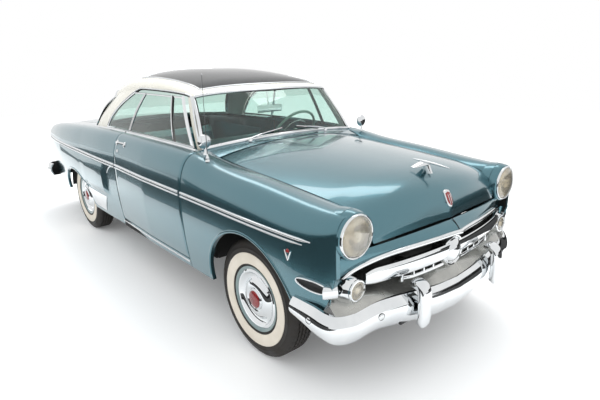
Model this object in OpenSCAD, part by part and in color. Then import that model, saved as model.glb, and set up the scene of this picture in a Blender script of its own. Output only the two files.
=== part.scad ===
// Two-door hardtop passenger car of the mid 1950s with a glass roof panel.
// Millimetres. X runs forward, Y to the car's left, Z up. The origin is on the ground,
// under the middle of the car's length and width.

/* [Body] */
// Length over the bumper guards
body_l = 5000; // [4950:10:5900]
// Width over the body sides
body_w = 1788; // [1700:2:2150]
// Height of the roof above the ground at its middle
roof_z = 1580; // [1540:1:1800]
// Height of the sill's lower edge
sill_z = 330; // [300:1:340]
// Thickness of the fender and quarter panels, with their flanges
panel_t = 24; // [16:1:28]
// Thickness of the doors, with their trim
door_t = 110; // [80:1:120]
// Gap round the doors, the hood and the trunk lid
panel_gap = 8; // [7:0.5:9]
// Thickness of the hood and the trunk lid
lid_t = 18; // [12:1:20]

/* [Wheels] */
// Distance between the axles
wheelbase = 2934; // [2450:2:3500]
// Distance from the front bumper guards to the front axle
front_overhang = 832; // [820:1:850]
// Front track, between the middles of the tyres
track_f = 1473; // [1440:1:1490]
// Rear track
track_r = 1422; // [1400:1:1440]
// Outer radius of the tyres
tyre_r = 345; // [320:1:352]
// Width of the tyres
tyre_w = 170; // [140:1:180]
// Radius of the rim's bead seat
rim_r = 190; // [170:1:200]
// Radius of the front wheel openings
arch_r = 400; // [380:1:410]
// Half length of the rear wheel openings
arch_rear_l = 410; // [390:1:430]
// Height of the rear wheel openings above the hub
arch_rear_h = 290; // [270:1:330]

/* [Steering] */
// Distance from the car's middle to the kingpins
kingpin_y = 640; // [635:1:650]
// Radius of the kingpins
kingpin_r = 18; // [14:0.5:20]
// Radius of the wheel spindles and axle ends
spindle_r = 20; // [16:0.5:24]
// Radius of the steering wheel, to the middle of its rim
steer_wheel_r = 205; // [180:1:215]
// Slope of the steering column above the level
column_slope = 32; // [28:1:35]

/* [Frame] */
// Height of the frame rails
rail_h = 100; // [80:1:110]
// Width of a frame rail
rail_w = 65; // [55:1:70]
// Distance from the car's middle to the inner faces of the rails
rail_y = 400; // [395:1:402]
// Thickness of the floor
floor_t = 15; // [8:1:18]

/* [Hidden] */
running = 0.05;
seat_gap = 0.3;
front_axle_x = body_l / 2 - front_overhang;
rear_axle_x = front_axle_x - wheelbase;
hub_z = tyre_r;
half_w = body_w / 2;
side_k = half_w / 894;
roof_lift = roof_z - 1580;
hub_wall = 25;
floor_z = 390;
glass_t = 5;
steer_c = [640, 370, 1060];
lamp = [2300, 691 * side_k, 870];
tail = [-2420, 655 * side_k, 800];

// Body side. Columns: x, greatest half width, its height, half width at the crown,
// height of the crown, height of the lower edge.
BODY = [
    [-2420, 768, 800, 655, 946, 560],
    [-2360, 786, 795, 668, 962, 500],
    [-2200, 812, 785, 700, 986, 430],
    [-1850, 850, 775, 724, 1024, 372],
    [-1266, 884, 765, 736, 1062, sill_z],
    [-600, 894, 760, 742, 1088, sill_z],
    [-150, 888, 760, 742, 1096, sill_z],
    [400, 885, 760, 742, 1098, sill_z],
    [1000, 882, 760, 722, 1085, sill_z],
    [1300, 881, 758, 706, 1052, sill_z],
    [1668, 880, 756, 700, 1026, sill_z],
    [2000, 872, 765, 698, 996, 440],
    [2150, 856, 795, 694, 986, 478],
    [2240, 834, 835, 691, 982, 520],
    [2300, 806, 868, 691, 980, 690],
];

// Hood. Columns: x and height on the middle line, then x, half width and height at its edge.
HOOD = [
    [1120, 1112, 1120, 634, 1050],
    [1400, 1104, 1400, 628, 1024],
    [1700, 1090, 1700, 625, 1004],
    [2000, 1066, 1990, 620, 980],
    [2150, 1044, 2110, 610, 964],
    [2250, 1012, 2190, 600, 946],
    [2310, 970, 2240, 591, 920],
    [2345, 915, 2275, 582, 882],
    [2364, 862, 2297, 571, 838],
    [2370, 817, 2310, 560, 797],
];

// Trunk lid, with the same columns, from its hinged edge to its lower rear edge.
TRUNK = [
    [-1340, 1078, -1340, 600, 1056],
    [-1600, 1069, -1600, 596, 1042],
    [-1900, 1044, -1890, 588, 1018],
    [-2150, 1004, -2130, 575, 984],
    [-2290, 955, -2265, 560, 938],
    [-2370, 890, -2340, 548, 876],
    [-2408, 800, -2380, 538, 790],
    [-2424, 700, -2398, 530, 695],
    [-2428, 625, -2404, 526, 622],
];

// Roof and its pillars. Columns: x at the roof's middle, height there, x at the roof's edge,
// half width there, height there, x at the foot, half width at the foot.
ROOF = [
    [790, 1436, 742, 600, 1404, 962, 683],
    [735, 1470, 690, 606, 1416, 908, 685],
    [600, 1516, 590, 612, 1426, 700, 718],
    [350, 1558, 350, 617, 1434, 420, 720],
    [60, 1579, 60, 616, 1436, 100, 720],
    [-270, 1571, -110, 612, 1430, -610, 720],
    [-480, 1540, -330, 606, 1414, -700, 719],
    [-640, 1496, -500, 600, 1390, -790, 718],
    [-740, 1456, -640, 594, 1352, -880, 716],
];

// Bumper. Columns: half width, x, lower edge, upper edge.
BUMPER = [
    [0, 2462, 315, 490],
    [180, 2456, 326, 498],
    [340, 2444, 352, 516],
    [500, 2420, 374, 530],
    [615, 2394, 378, 528],
    [730, 2354, 340, 494],
    [820, 2322, 352, 500],
    [866, 2276, 374, 516],
    [888, 2200, 398, 536],
    [896, 2070, 440, 540],
];

// Rear bumper, with the same columns; its x is measured backwards.
BUMPER_REAR = [
    [0, 2488, 345, 520],
    [300, 2484, 350, 522],
    [560, 2472, 356, 526],
    [700, 2454, 360, 528],
    [800, 2424, 366, 530],
    [862, 2370, 376, 536],
    [890, 2280, 392, 544],
    [896, 2130, 420, 548],
];

$fn = 48;

// ---- tables and curves ----

function row_at(x, t, i = 0) = i >= len(t) - 2 || x < t[i + 1][0] ? i : row_at(x, t, i + 1);
function slope(t, c, i) =
    let (a = max(i - 1, 0), b = min(i + 1, len(t) - 1))
    (t[b][c] - t[a][c]) / (t[b][0] - t[a][0]);
// Value of column c at x, on a smooth curve through the rows of a table with rising x.
function smooth(x, t, c) =
    let (
        xc = min(max(x, t[0][0]), t[len(t) - 1][0]),
        i = row_at(xc, t),
        h = t[i + 1][0] - t[i][0],
        s = (xc - t[i][0]) / h
    )
    (2 * s ^ 3 - 3 * s ^ 2 + 1) * t[i][c] + (s ^ 3 - 2 * s ^ 2 + s) * h * slope(t, c, i)
    + (3 * s ^ 2 - 2 * s ^ 3) * t[i + 1][c] + (s ^ 3 - s ^ 2) * h * slope(t, c, i + 1);

function side_y(x) = smooth(x, BODY, 1) * side_k;
function side_z(x) = smooth(x, BODY, 2);
function crown_y(x) = smooth(x, BODY, 3) * side_k;
function crown_z(x) = smooth(x, BODY, 4);
function lower_z(x) = smooth(x, BODY, 5);

// Inner edge of the fenders and quarters. Columns: x, half width, height.
EDGE = concat(
    [for (i = [len(TRUNK) - 1:-1:0]) [TRUNK[i][2], TRUNK[i][3] * side_k + panel_gap, TRUNK[i][4]]],
    [[-1200, 622 * side_k, 1065], [-960, 664 * side_k, 1078], [-700, 671 * side_k, 1084],
     [-150, 671 * side_k, 1094], [1000, 655 * side_k, 1082], [1080, 650 * side_k, 1064]],
    [for (r = HOOD) [r[2], r[3] * side_k + panel_gap, r[4]]]
);
function edge_y(x) = smooth(x, EDGE, 1);
function edge_z(x) = smooth(x, EDGE, 2);

tuck = 42;
shoulder_n = 2.6;
// Half width of the lower body side at height z.
function low_y(x, z) = side_y(x) - tuck * ((side_z(x) - z) / (side_z(x) - sill_z)) ^ 2;

// Section of the body side at x from height low up to the crown, and in to edge [y, z].
// Each point is [y, z, angle], with the angle from 0 on the side to 90 on top.
n_low = 4;
n_shoulder = 6;
n_in = 4;
function section(x, low, edge) =
    let (sy = side_y(x), sz = side_z(x), cy = crown_y(x), cz = crown_z(x))
    concat(
        [for (k = [0:n_low]) let (z = low + (sz - low) * k / n_low) [low_y(x, z), z, 0]],
        [for (k = [1:n_shoulder]) let (a = 90 * k / n_shoulder)
            [cy + (sy - cy) * cos(a) ^ (2 / shoulder_n),
             sz + (cz - sz) * sin(a) ^ (2 / shoulder_n), a]],
        [for (k = [1:n_in]) let (v = k / n_in)
            [cy + (edge[0] - cy) * v, cz + (edge[1] - cz) * v ^ 2, 90]]
    );

// ---- closed shells from grids of points ----

function norm3(v) = v / norm(v);
function cell(i, j, m) = i * m + j;
// Closed polyhedron between two grids; the first is the one on the side of (rows) x (columns).
// open lists the cells, [row, column], that are left out as windows.
module slab(outer, inner, open = []) {
    n = len(outer);
    m = len(outer[0]);
    o = n * m;
    gone = [for (i = [0:n - 2]) [for (j = [0:m - 2]) len(search([[i, j]], open)[0] == [] ? [] : [1]) > 0]];
    function full(i, j) = i >= 0 && j >= 0 && i < n - 1 && j < m - 1 && !gone[i][j];
    points = concat([for (r = outer) each r], [for (r = inner) each r]);
    quads = [
        for (i = [0:n - 2]) for (j = [0:m - 2]) if (full(i, j))
            let (a = cell(i, j, m), b = cell(i, j + 1, m), c = cell(i + 1, j + 1, m), d = cell(i + 1, j, m))
            each concat(
                [[a, b, c], [a, c, d], [o + a, o + c, o + b], [o + a, o + d, o + c]],
                full(i - 1, j) ? [] : [[a, o + a, o + b], [a, o + b, b]],
                full(i + 1, j) ? [] : [[d, c, o + c], [d, o + c, o + d]],
                full(i, j - 1) ? [] : [[a, d, o + d], [a, o + d, o + a]],
                full(i, j + 1) ? [] : [[b, o + b, o + c], [b, o + c, c]]
            )
    ];
    polyhedron(points = points, faces = quads, convexity = 8);
}
function grid_normal(g, i, j) =
    let (
        n = len(g), m = len(g[0]),
        u = g[min(i + 1, n - 1)][j] - g[max(i - 1, 0)][j],
        v = g[i][min(j + 1, m - 1)] - g[i][max(j - 1, 0)]
    )
    norm3(cross(u, v));
// The grid moved by t along its normals; a positive t moves it to the side of u x v.
function offset_grid(g, t) =
    [for (i = [0:len(g) - 1]) [for (j = [0:len(g[0]) - 1]) g[i][j] + t * grid_normal(g, i, j)]];
module shell(g, t, open = []) {
    if (t < 0) slab(g, offset_grid(g, t), open);
    else slab(offset_grid(g, t), g, open);
}
module both() {
    children();
    mirror([0, 1, 0]) children();
}

// ---- body sides ----

function arch_front(x) =
    let (d = abs(x - front_axle_x)) d >= arch_r ? 0 : hub_z + sqrt(arch_r ^ 2 - d ^ 2);
function arch_rear(x) =
    let (d = abs(x - rear_axle_x) / arch_rear_l) d >= 1 ? 0 : hub_z + arch_rear_h * sqrt(1 - d ^ 2);
function arch_stations(c, half) = [for (a = [0:12:180]) c - half * cos(a)];
function spread(a, b, n) = [for (k = [0:n]) a + (b - a) * k / n];

door_x = [-132, 996];
fender_x = [door_x[1] + panel_gap, lamp[0]];
quarter_x = [tail[0], door_x[0] - panel_gap];

// Side panel over the stations xs, with its lower edge given for each, thick wall_y on the side.
module side_panel(xs, lows, walls) {
    sections = [for (i = [0:len(xs) - 1]) section(xs[i], lows[i], [edge_y(xs[i]), edge_z(xs[i])])];
    outer = [for (i = [0:len(xs) - 1]) [for (p = sections[i]) [xs[i], p[0], p[1]]]];
    inner = [for (i = [0:len(xs) - 1]) [for (p = sections[i])
        [xs[i], p[0] - walls[i] * cos(p[2]), p[1] - panel_t * sin(p[2])]]];
    slab(inner, outer);
}
module front_fender() {
    arch = arch_stations(front_axle_x, arch_r);
    xs = concat(spread(fender_x[0], arch[0] - 30, 3), arch, spread(arch[len(arch) - 1] + 30, fender_x[1], 6));
    side_panel(xs, [for (x = xs) max(lower_z(x), arch_front(x))], [for (x = xs) panel_t]);
}
cabin_wall_x = [-800, -640];
function quarter_wall(x) =
    let (s = min(max((x - cabin_wall_x[0]) / (cabin_wall_x[1] - cabin_wall_x[0]), 0), 1))
    panel_t + (door_t - panel_t) * s;
module quarter_panel() {
    arch = arch_stations(rear_axle_x, arch_rear_l);
    xs = concat(spread(quarter_x[0], arch[0] - 30, 7), arch, spread(arch[len(arch) - 1] + 30, quarter_x[1], 6));
    side_panel(xs, [for (x = xs) max(lower_z(x), arch_rear(x))], [for (x = xs) quarter_wall(x)]);
}
module front_fender_left() color("#5f8296") front_fender();
module front_fender_right() color("#5f8296") mirror([0, 1, 0]) front_fender();
module quarter_panel_left() color("#5f8296") quarter_panel();
module quarter_panel_right() color("#5f8296") mirror([0, 1, 0]) quarter_panel();

// ---- doors ----

door_low = 392;
door_ledge = 30;
// The door's rear face slopes in by this much, to clear its opening as it swings.
door_rake = 14;
module door() {
    xs = spread(door_x[0], door_x[1], 11);
    rows = [for (x = xs) section(x, door_low, [crown_y(x) - door_ledge, crown_z(x) - 2])];
    outer = [for (i = [0:len(xs) - 1]) [for (p = rows[i]) [xs[i], p[0], p[1]]]];
    inner = [for (i = [0:len(xs) - 1]) [for (p = rows[i])
        [xs[i] + (i == 0 ? door_rake : 0), p[0] - door_t * cos(p[2]), p[1] - panel_t * sin(p[2])]]];
    slab(inner, outer);
}
module door_left() color("#5f8296") door();
module door_right() color("#5f8296") mirror([0, 1, 0]) door();

// Side glass, from its foot on the belt to its top. Columns of a corner: x at the foot, x on top.
glass_top = [636, 1406 + roof_lift];
function side_glass_grid(front, rear) =
    [for (s = spread(0, 1, 4))
        let (
            xf = rear[0] + (front[0] - rear[0]) * s,
            xt = rear[1] + (front[1] - rear[1]) * s,
            foot = [xf, crown_y(xf) - 18, crown_z(xf) + seat_gap],
            top = [xt, glass_top[0] * side_k, glass_top[1]]
        )
        [for (v = spread(0, 1, 3)) foot + (top - foot) * v + [0, 9 * sin(180 * v), 0]]];
door_glass_edges = [[895, 672], [-104, 88]];
quarter_glass_edges = [[-114, 78], [-596, -118]];
module door_glass() shell(side_glass_grid(door_glass_edges[0], door_glass_edges[1]), -glass_t);
module door_glass_left() color([0.72, 0.86, 0.82, 0.4]) door_glass();
module door_glass_right() color([0.72, 0.86, 0.82, 0.4]) mirror([0, 1, 0]) door_glass();
module quarter_glass() color([0.72, 0.86, 0.82, 0.4])
    both() shell(side_glass_grid(quarter_glass_edges[0], quarter_glass_edges[1]), -glass_t);

// ---- hood, trunk lid and the fixed panels between ----

// Rows of a lid from its table: the points go from the left edge to the right edge.
function lid_grid(t, n = 6) =
    [for (r = t) [for (k = [n:-1:-n]) let (v = abs(k) / n)
        [r[0] + (r[2] - r[0]) * v ^ 2, sign(k) * r[3] * side_k * v, r[1] + (r[4] - r[1]) * v ^ 2.3]]];
module hood() color("#5f8296") shell(lid_grid(HOOD), lid_t);
module trunk_lid() color("#5f8296") shell(lid_grid(TRUNK), -lid_t);

hood_gap = 14;
cowl_front = HOOD[0][0] - hood_gap;
glass_foot = [1016, 962];
// Height of the windshield's foot, at the middle and at the pillars.
foot_z = [1128, 1090];
function foot_x(v) = glass_foot[0] + (glass_foot[1] - glass_foot[0]) * v ^ 2;
function foot_h(v) = foot_z[0] + (foot_z[1] - foot_z[0]) * v ^ 2;
cowl_t = 12;
function cowl_row(s, n = 6) =
    [for (k = [n:-1:-n]) let (v = abs(k) / n, x = cowl_front + (foot_x(v) - cowl_front) * s)
        [x, sign(k) * v * (edge_y(max(x, 1004)) - 2 * seat_gap),
         (HOOD[0][1] + (edge_z(cowl_front) - HOOD[0][1]) * v ^ 2.3) * (1 - s) + foot_h(v) * s]];
firewall_t = 12;
pillar = [1012, 1100, 610, 790, 1015];
module cowl() color("#4c6c7e") {
    shell([for (s = spread(1, 0, 3)) cowl_row(s)], cowl_t);
    difference() {
        translate([cowl_front - firewall_t - 10, -690 * side_k, floor_z - floor_t])
            cube([firewall_t, 1380 * side_k, 1032 - floor_z + floor_t]);
        column_line(column_r + seat_gap, 900);
    }
    translate([cowl_front - 50, -100, 1020]) cube([34, 200, 82]);
    translate([cowl_front - 20, -100, 1020]) cube([50, 200, HOOD[0][1] - lid_t - 1.6 - 1020]);
    both() {
        translate([pillar[0], pillar[2] * side_k, floor_z])
            cube([cowl_front - 20 - pillar[0], (pillar[3] - pillar[2]) * side_k, pillar[4] - floor_z]);
        translate([892, post_y, floor_z]) cube([pillar[0] - 890, post_w, pillar[4] - floor_z]);
        translate([892, post_y, floor_z]) cube([door_x[1] - 892 + 6, post_w, post_top - floor_z]);
        for (z = [500, 900]) translate([door_x[1] + seat_gap, 745 * side_k, z])
            cube([pillar[0] - door_x[1], 35, 60]);
    }
}
post_y = 640;
post_w = 46;
post_top = 1084;

deck_rows = 3;
rear_foot = [-1190, -904];
rear_foot_z = [1082, 1086];
function deck_row(s, n = 6) =
    [for (k = [n:-1:-n]) let (
        v = abs(k) / n,
        xa = rear_foot[0] + (rear_foot[1] - rear_foot[0]) * v ^ 2,
        xb = TRUNK[0][0] + panel_gap,
        x = xa + (xb - xa) * s,
        za = rear_foot_z[0] + (edge_z(xa) - rear_foot_z[0]) * v ^ 2.3,
        zb = TRUNK[0][1] + (TRUNK[0][4] - TRUNK[0][1]) * v ^ 2.3
    ) [x, sign(k) * v * (edge_y(x) - 2), za + (zb - za) * s]];
module rear_deck() color("#5f8296") {
    shell([for (s = spread(0, 1, deck_rows)) deck_row(s)], -cowl_t);
    translate([TRUNK[0][0] - 30, -100, 1020]) cube([60, 200, TRUNK[0][1] - lid_t - 1.6 - 1020]);
    translate([TRUNK[0][0] + 26, -100, 1020]) cube([24, 200, 48]);
    // shelf behind the rear seat
    translate([-1314, -575, 1020]) cube([234, 1150, 12]);
}
module tail_panel() color("#5f8296") {
    rows = [for (z = [612, 560, 500, 440]) [for (k = [6:-1:-6]) let (v = abs(k) / 6)
        [-2428 + 24 * v ^ 2 + (612 - z) * 0.1, sign(k) * v * 640 * side_k, z]]];
    shell(rows, -20);
}

// ---- roof ----

n_side = 3;
n_top = 6;
// One row of the roof: up the left side, across the top and down the right side.
function roof_row(r) =
    let (
        edge = [r[2], r[3] * side_k, r[4] + roof_lift],
        foot = [r[5], r[6] * side_k, r[5] > 850 ? post_top + seat_gap : crown_z(r[5]) + 3 * seat_gap],
        up = [for (k = [0:n_side - 1]) let (v = k / n_side)
            foot + (edge - foot) * v + [0, 10 * sin(180 * v), 0]],
        top = [for (k = [n_top:-1:1]) let (v = k / n_top)
            [r[0] + (r[2] - r[0]) * v ^ 2, edge[1] * sin(90 * v),
             r[1] + roof_lift + (r[4] - r[1]) * (1 - cos(90 * v)) ^ 1.25]]
    )
    concat(up, top, [[r[0], 0, r[1] + roof_lift]],
        [for (k = [len(top) - 1:-1:0]) [top[k][0], -top[k][1], top[k][2]]],
        [for (k = [len(up) - 1:-1:0]) [up[k][0], -up[k][1], up[k][2]]]);
roof_grid = [for (r = ROOF) roof_row(r)];
n_cols = 2 * (n_side + n_top);
window_cells = [for (i = [1:4]) for (j = [0:n_side - 1]) each [[i, j], [i, n_cols - 1 - j]]];
sunroof_cells = [for (i = [1:4]) for (j = [n_side + 2:n_cols - 1 - n_side - 2]) [i, j]];
roof_t = 22;
// Inner face of the roof, with the pillars' feet cut off level.
roof_inner = let (g = offset_grid(roof_grid, -roof_t))
    [for (i = [0:len(g) - 1]) [for (j = [0:n_cols])
        j == 0 || j == n_cols ? [g[i][j][0], g[i][j][1], roof_grid[i][j][2]] : g[i][j]]];
module roof_shell() color("#ece7da") slab(roof_grid, roof_inner, concat(window_cells, sunroof_cells));
// -1 on the first row or column of a patch, 1 on the last and 0 between.
function rim(i, first, last) = (i == first) ? -1 : ((i == last) ? 1 : 0);
// The part of a grid over the roof opening, with its rim drawn in by a small gap.
function roof_patch(g) =
    let (j0 = n_side + 2, j1 = n_cols - j0)
    [for (i = [1:5]) [for (j = [j0:j1]) g[i][j] + 2 * seat_gap * [rim(i, 1, 5), rim(j, j0, j1), 0]]];
// The glass roof panel fills the opening, on the same curve.
module roof_glass() color([0.12, 0.14, 0.15, 0.6])
    slab(roof_patch(offset_grid(roof_grid, -1)), roof_patch(offset_grid(roof_grid, -7)));
module windshield_glass() color([0.72, 0.86, 0.82, 0.4]) {
    head = [for (j = [n_side:n_cols - n_side]) roof_grid[0][j]];
    n = len(head) - 1;
    foot = [for (k = [0:n]) let (v = 1 - 2 * k / n, w = abs(v))
        [foot_x(w) + 6, 677 * side_k * v, foot_h(w) + 3]];
    rows = [for (s = spread(0, 1, 4)) [for (k = [0:n])
        foot[k] + (head[k] + [5, 0, -3] - foot[k]) * s + [10, 0, 6] * sin(180 * s)]];
    shell(rows, -glass_t);
}
module rear_window_glass() color([0.72, 0.86, 0.82, 0.4]) {
    last = roof_grid[len(roof_grid) - 1];
    head = [for (j = [n_side:n_cols - n_side]) last[j]];
    n = len(head) - 1;
    foot = [for (k = [0:n]) let (v = 1 - 2 * k / n, w = abs(v))
        [rear_foot[0] - 2 + (rear_foot[1] - rear_foot[0]) * w ^ 2, 706 * side_k * v,
         rear_foot_z[0] + (rear_foot_z[1] - rear_foot_z[0]) * w ^ 2 + 3]];
    rows = [for (s = spread(0, 1, 4)) [for (k = [0:n])
        head[k] + [-4, 0, -3] + (foot[k] - head[k] - [-4, 0, -3]) * s + [-20, 0, 30] * sin(180 * s)]];
    shell(rows, -glass_t);
}

// ---- front and rear ends ----

// Upper edge and lower edge of the panel over the grille, at half width y.
function lip_x(y) = 2370 - 60 * (y / 560) ^ 2;
function lip_z(y) =
    817 - panel_gap - (y < 560 ? 20 * (y / 560) ^ 2 : 20 + 30 * (1 - cos(min(y - 560, 130) / 130 * 90)));
function brow_x(y) = 2412 - 150 * (y / 740) ^ 2;
function brow_z(y) = 754 - 90 * (y / 745) ^ 5;
front_panel_w = 745;
module front_panel() color("#5f8296") {
    rows = [for (s = spread(0, 1, 3)) [for (k = [8:-1:-8]) let (y = abs(k) / 8 * front_panel_w)
        [lip_x(y) + (brow_x(y) - lip_x(y)) * s, sign(k) * y, lip_z(y) + (brow_z(y) - lip_z(y)) * s]]];
    shell(rows, 14);
    both() translate([2248.3, 440, 742]) cube([96, 30, 22]);
}
bar_z = 636;
bar_r = 2600;
module grille() color("#d8dadb") {
    translate([2236, -629.7, 400]) cube([12, 1259.4, 360]);
    both() translate([2246, 300, bar_z - 20]) cube([100, 40, 40]);
    both() translate([2246, 590, bar_z - 30]) cube([60, 34, 60]);
    intersection() {
        translate([2200, -620, bar_z - 42]) cube([300, 1240, 84]);
        difference() {
            translate([2406 - bar_r, 0, 0]) cylinder(r = bar_r, h = 1000, $fn = 360);
            translate([2406 - bar_r, 0, -1]) cylinder(r = bar_r - 66, h = 1002, $fn = 360);
        }
    }
    translate([2380, 0, bar_z]) rotate([0, 90, 0]) cylinder(r = 92, h = 52);
}
// Bumper skin over its table, with its face swelling by swell. Its rows run round the car.
bumper_t = 16;
swell = 30;
module bumper_skin(t) {
    half = [for (i = [len(t) - 1:-1:0]) t[i]];
    path = concat(
        [for (r = half) [r[1], r[0], r[2], r[3]]],
        [for (i = [1:len(t) - 1]) [t[i][1], -t[i][0], t[i][2], t[i][3]]]
    );
    n = len(path) - 1;
    tangent = [for (i = [0:n])
        let (a = path[max(i - 1, 0)], b = path[min(i + 1, n)])
        norm3([b[0] - a[0], b[1] - a[1], 0])];
    rows = [for (i = [0:n]) [for (v = spread(0, 1, 5))
        let (p = path[i], out = [-tangent[i][1], tangent[i][0], 0])
        [p[0], p[1], p[2] + (p[3] - p[2]) * v] + out * swell * (sin(180 * v) ^ 0.8 - 1)]];
    shell(rows, bumper_t);
}
guard_y = 356;
plate_hole_gap = 178;
plate_hole_z = 618;
plate_hole_r = 3.5;
module guard(x) {
    hull() {
        translate([x - 60, guard_y, 352]) rotate([0, 90, 0]) cylinder(r = 30, h = 50, $fn = 24);
        translate([x - 44, guard_y, 560]) rotate([0, 90, 0]) cylinder(r = 42, h = 44, $fn = 24);
    }
}
bracket = [2200, 2410];
module front_bumper() color("#d8dadb") {
    bumper_skin([for (r = BUMPER) [r[0] * side_k, r[1], r[2], r[3]]]);
    both() {
        guard(body_l / 2);
        translate([bracket[0] + 36, rail_y + 5, 362]) cube([bracket[1] - bracket[0] - 34, 50, 30]);
    }
}
module rear_bumper() color("#d8dadb") mirror([1, 0, 0]) {
    bumper_skin([for (r = BUMPER_REAR) [r[0] * side_k, r[1], r[2], r[3]]]);
    both() {
        guard(body_l / 2);
        translate([2330.3, rail_y + 5, 404]) cube([120, 50, 30]);
    }
    difference() {
        union() {
            translate([2448, -165, 500]) cube([4, 330, 140]);
            translate([2448, -165, 500]) cube([26, 330, 10]);
        }
        both() translate([2440, plate_hole_gap / 2, plate_hole_z]) rotate([0, 90, 0])
            cylinder(r = plate_hole_r, h = 20);
    }
}
lamp_r = 104;
pod = [2250, 684 * side_k, 601];
module front_lamps() color("#e6e4da") both() {
    translate([lamp[0] - 60, lamp[1], lamp[2]]) rotate([0, 90, 0]) cylinder(r = 60, h = 62);
    translate([lamp[0] + seat_gap, lamp[1], lamp[2]]) rotate([0, 90, 0]) cylinder(r = lamp_r, h = 24);
    translate([lamp[0] + 24, lamp[1], lamp[2]]) rotate([0, 90, 0]) cylinder(r1 = 92, r2 = 60, h = 16, $fn = 48);
    translate([pod[0] - 14, pod[1], pod[2]]) rotate([0, 90, 0]) cylinder(r = 54, h = 94);
}
module tail_lamps() color("#a01818") both() {
    translate([tail[0] + 60, tail[1], tail[2]]) rotate([0, -90, 0]) cylinder(r = 70, h = 62);
    translate([tail[0] - seat_gap, tail[1], tail[2]]) rotate([0, -90, 0]) cylinder(r = 92, h = 30);
}

// ---- cabin ----

column_r = 18;
// Cylinder on the steering column's line, from the wheel forward and down.
module column_line(r, length, start = 0)
    translate(steer_c) rotate([0, 90 + column_slope, 0]) translate([0, 0, start])
        cylinder(r = r, h = length - start);
hub_h = 30;
module steering_column() color("#4c6c7e") {
    column_line(column_r, 800, hub_h / 2 + seat_gap);
    translate([1268, 345, rail_top_f]) cube([100, 42, 620 - rail_top_f + 40]);
}
module steering_wheel() color("#a9c9bb") translate(steer_c) rotate([0, 90 + column_slope, 0]) {
    rotate_extrude($fn = 72) translate([steer_wheel_r, 0]) circle(r = 11, $fn = 24);
    translate([0, 0, -hub_h / 2]) cylinder(r = 38, h = hub_h);
    for (a = [0, 180]) rotate([0, 0, a + 90]) translate([30, -14, -6]) cube([steer_wheel_r - 34, 28, 10]);
}
module dashboard() color("#5f8296") {
    rotate([90, 0, 0]) translate([0, 0, seat_gap - post_y]) linear_extrude(2 * (post_y - seat_gap))
        polygon([[820, 975], [940, 975], [940, 1066], [880, 1072], [800, 1056], [788, 1020]]);
}
module front_seat() color("#3c7480") {
    translate([0, 615, 0]) rotate([90, 0, 0]) linear_extrude(1230)
        polygon([
            [-60, floor_z], [430, floor_z], [455, 600], [-40, 565],
            [-140, 990], [-240, 990], [-235, 900], [-160, 540],
        ]);
}
module rear_seat() color("#3c7480") {
    translate([0, 575, 0]) rotate([90, 0, 0]) linear_extrude(1150)
        polygon([
            [-970, step_z + floor_t + seat_gap], [-555, step_z + floor_t + seat_gap],
            [-555, 400], [-495, 400], [-450, 600], [-900, 560],
            [-1000, 980], [-1077.7, 980], [-1077.7, 600], [-970, 582],
        ]);
}
// Height of the body's top at x and half width y, outside the crown.
function top_z(x, y) =
    let (u = max(y - crown_y(x), 0) / (side_y(x) - crown_y(x)), a = acos(u ^ (shoulder_n / 2)))
    side_z(x) + (crown_z(x) - side_z(x)) * sin(a) ^ (2 / shoulder_n);
mirror_foot = [1077, 722];
module mirrors() color("#d8dadb") {
    both() translate([mirror_foot[0], mirror_foot[1] * side_k, crown_z(mirror_foot[0]) + 2.5 * seat_gap]) {
        cylinder(r = 8, h = 62);
        translate([-17, 0, 80]) rotate([0, 90, 0]) cylinder(r = 44, h = 28);
        cylinder(r1 = 14, r2 = 9, h = 12, $fn = 48);
    }
    translate([798, -110, 1262]) cube([12, 220, 56]);
    translate([766, -6, 1290]) cube([34, 12, 12]);
    translate([766, -6, 1290]) cube([8, 12, roof_lift + 129]);
}
antenna_foot = [1180, -770];
module antenna() color("#c8cacb")
    translate([antenna_foot[0], antenna_foot[1] * side_k, top_z(antenna_foot[0], 763 * side_k) + seat_gap]) {
        cylinder(r = 12, h = 26);
        translate([0, 0, 20]) cylinder(r = 2.5, h = 490);
    }

// ---- frame and running gear ----

rail_top_f = 430;
// Side view of a rail's lower edge: x, z.
RAIL = [
    [-2330, 400], [-1900, 400], [-1800, 425], [-720, 425],
    [-580, 270], [1100, 270], [1300, 330], [2235.7, 330],
];
// The rails are lower by this where they pass over the rear axle.
rail_thin = 35;
module frame_rails() color("#222426")
    both() translate([0, rail_y + rail_w, 0]) rotate([90, 0, 0]) linear_extrude(rail_w)
    polygon(concat(RAIL, [for (i = [len(RAIL) - 1:-1:0]) RAIL[i] + [0, rail_h - (i < 4 ? rail_thin : 0)]]));
module cross(x, l, z, h) translate([x, -rail_y, z]) cube([l, 2 * rail_y, h]);
module crossmembers() color("#222426") {
    cross(2160, 50, 340, 80);
    difference() {
        translate([front_axle_x - 60, -rail_y - rail_w, 255]) cube([120, 2 * (rail_y + rail_w), 75]);
        both() translate([front_axle_x, tow_gap / 2, 250]) cylinder(r = tow_hole_r, h = 90);
    }
    cross(300, 60, 250, 35);
    cross(-540, 50, 250, 35);
    cross(-1700, 50, 430, 50);
    cross(-2330, 40, 405, 50);
}
trunk_floor_z = 560;
trunk_end = -2381.8;
tow_gap = 600;
tow_hole_r = 8.5;
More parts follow.
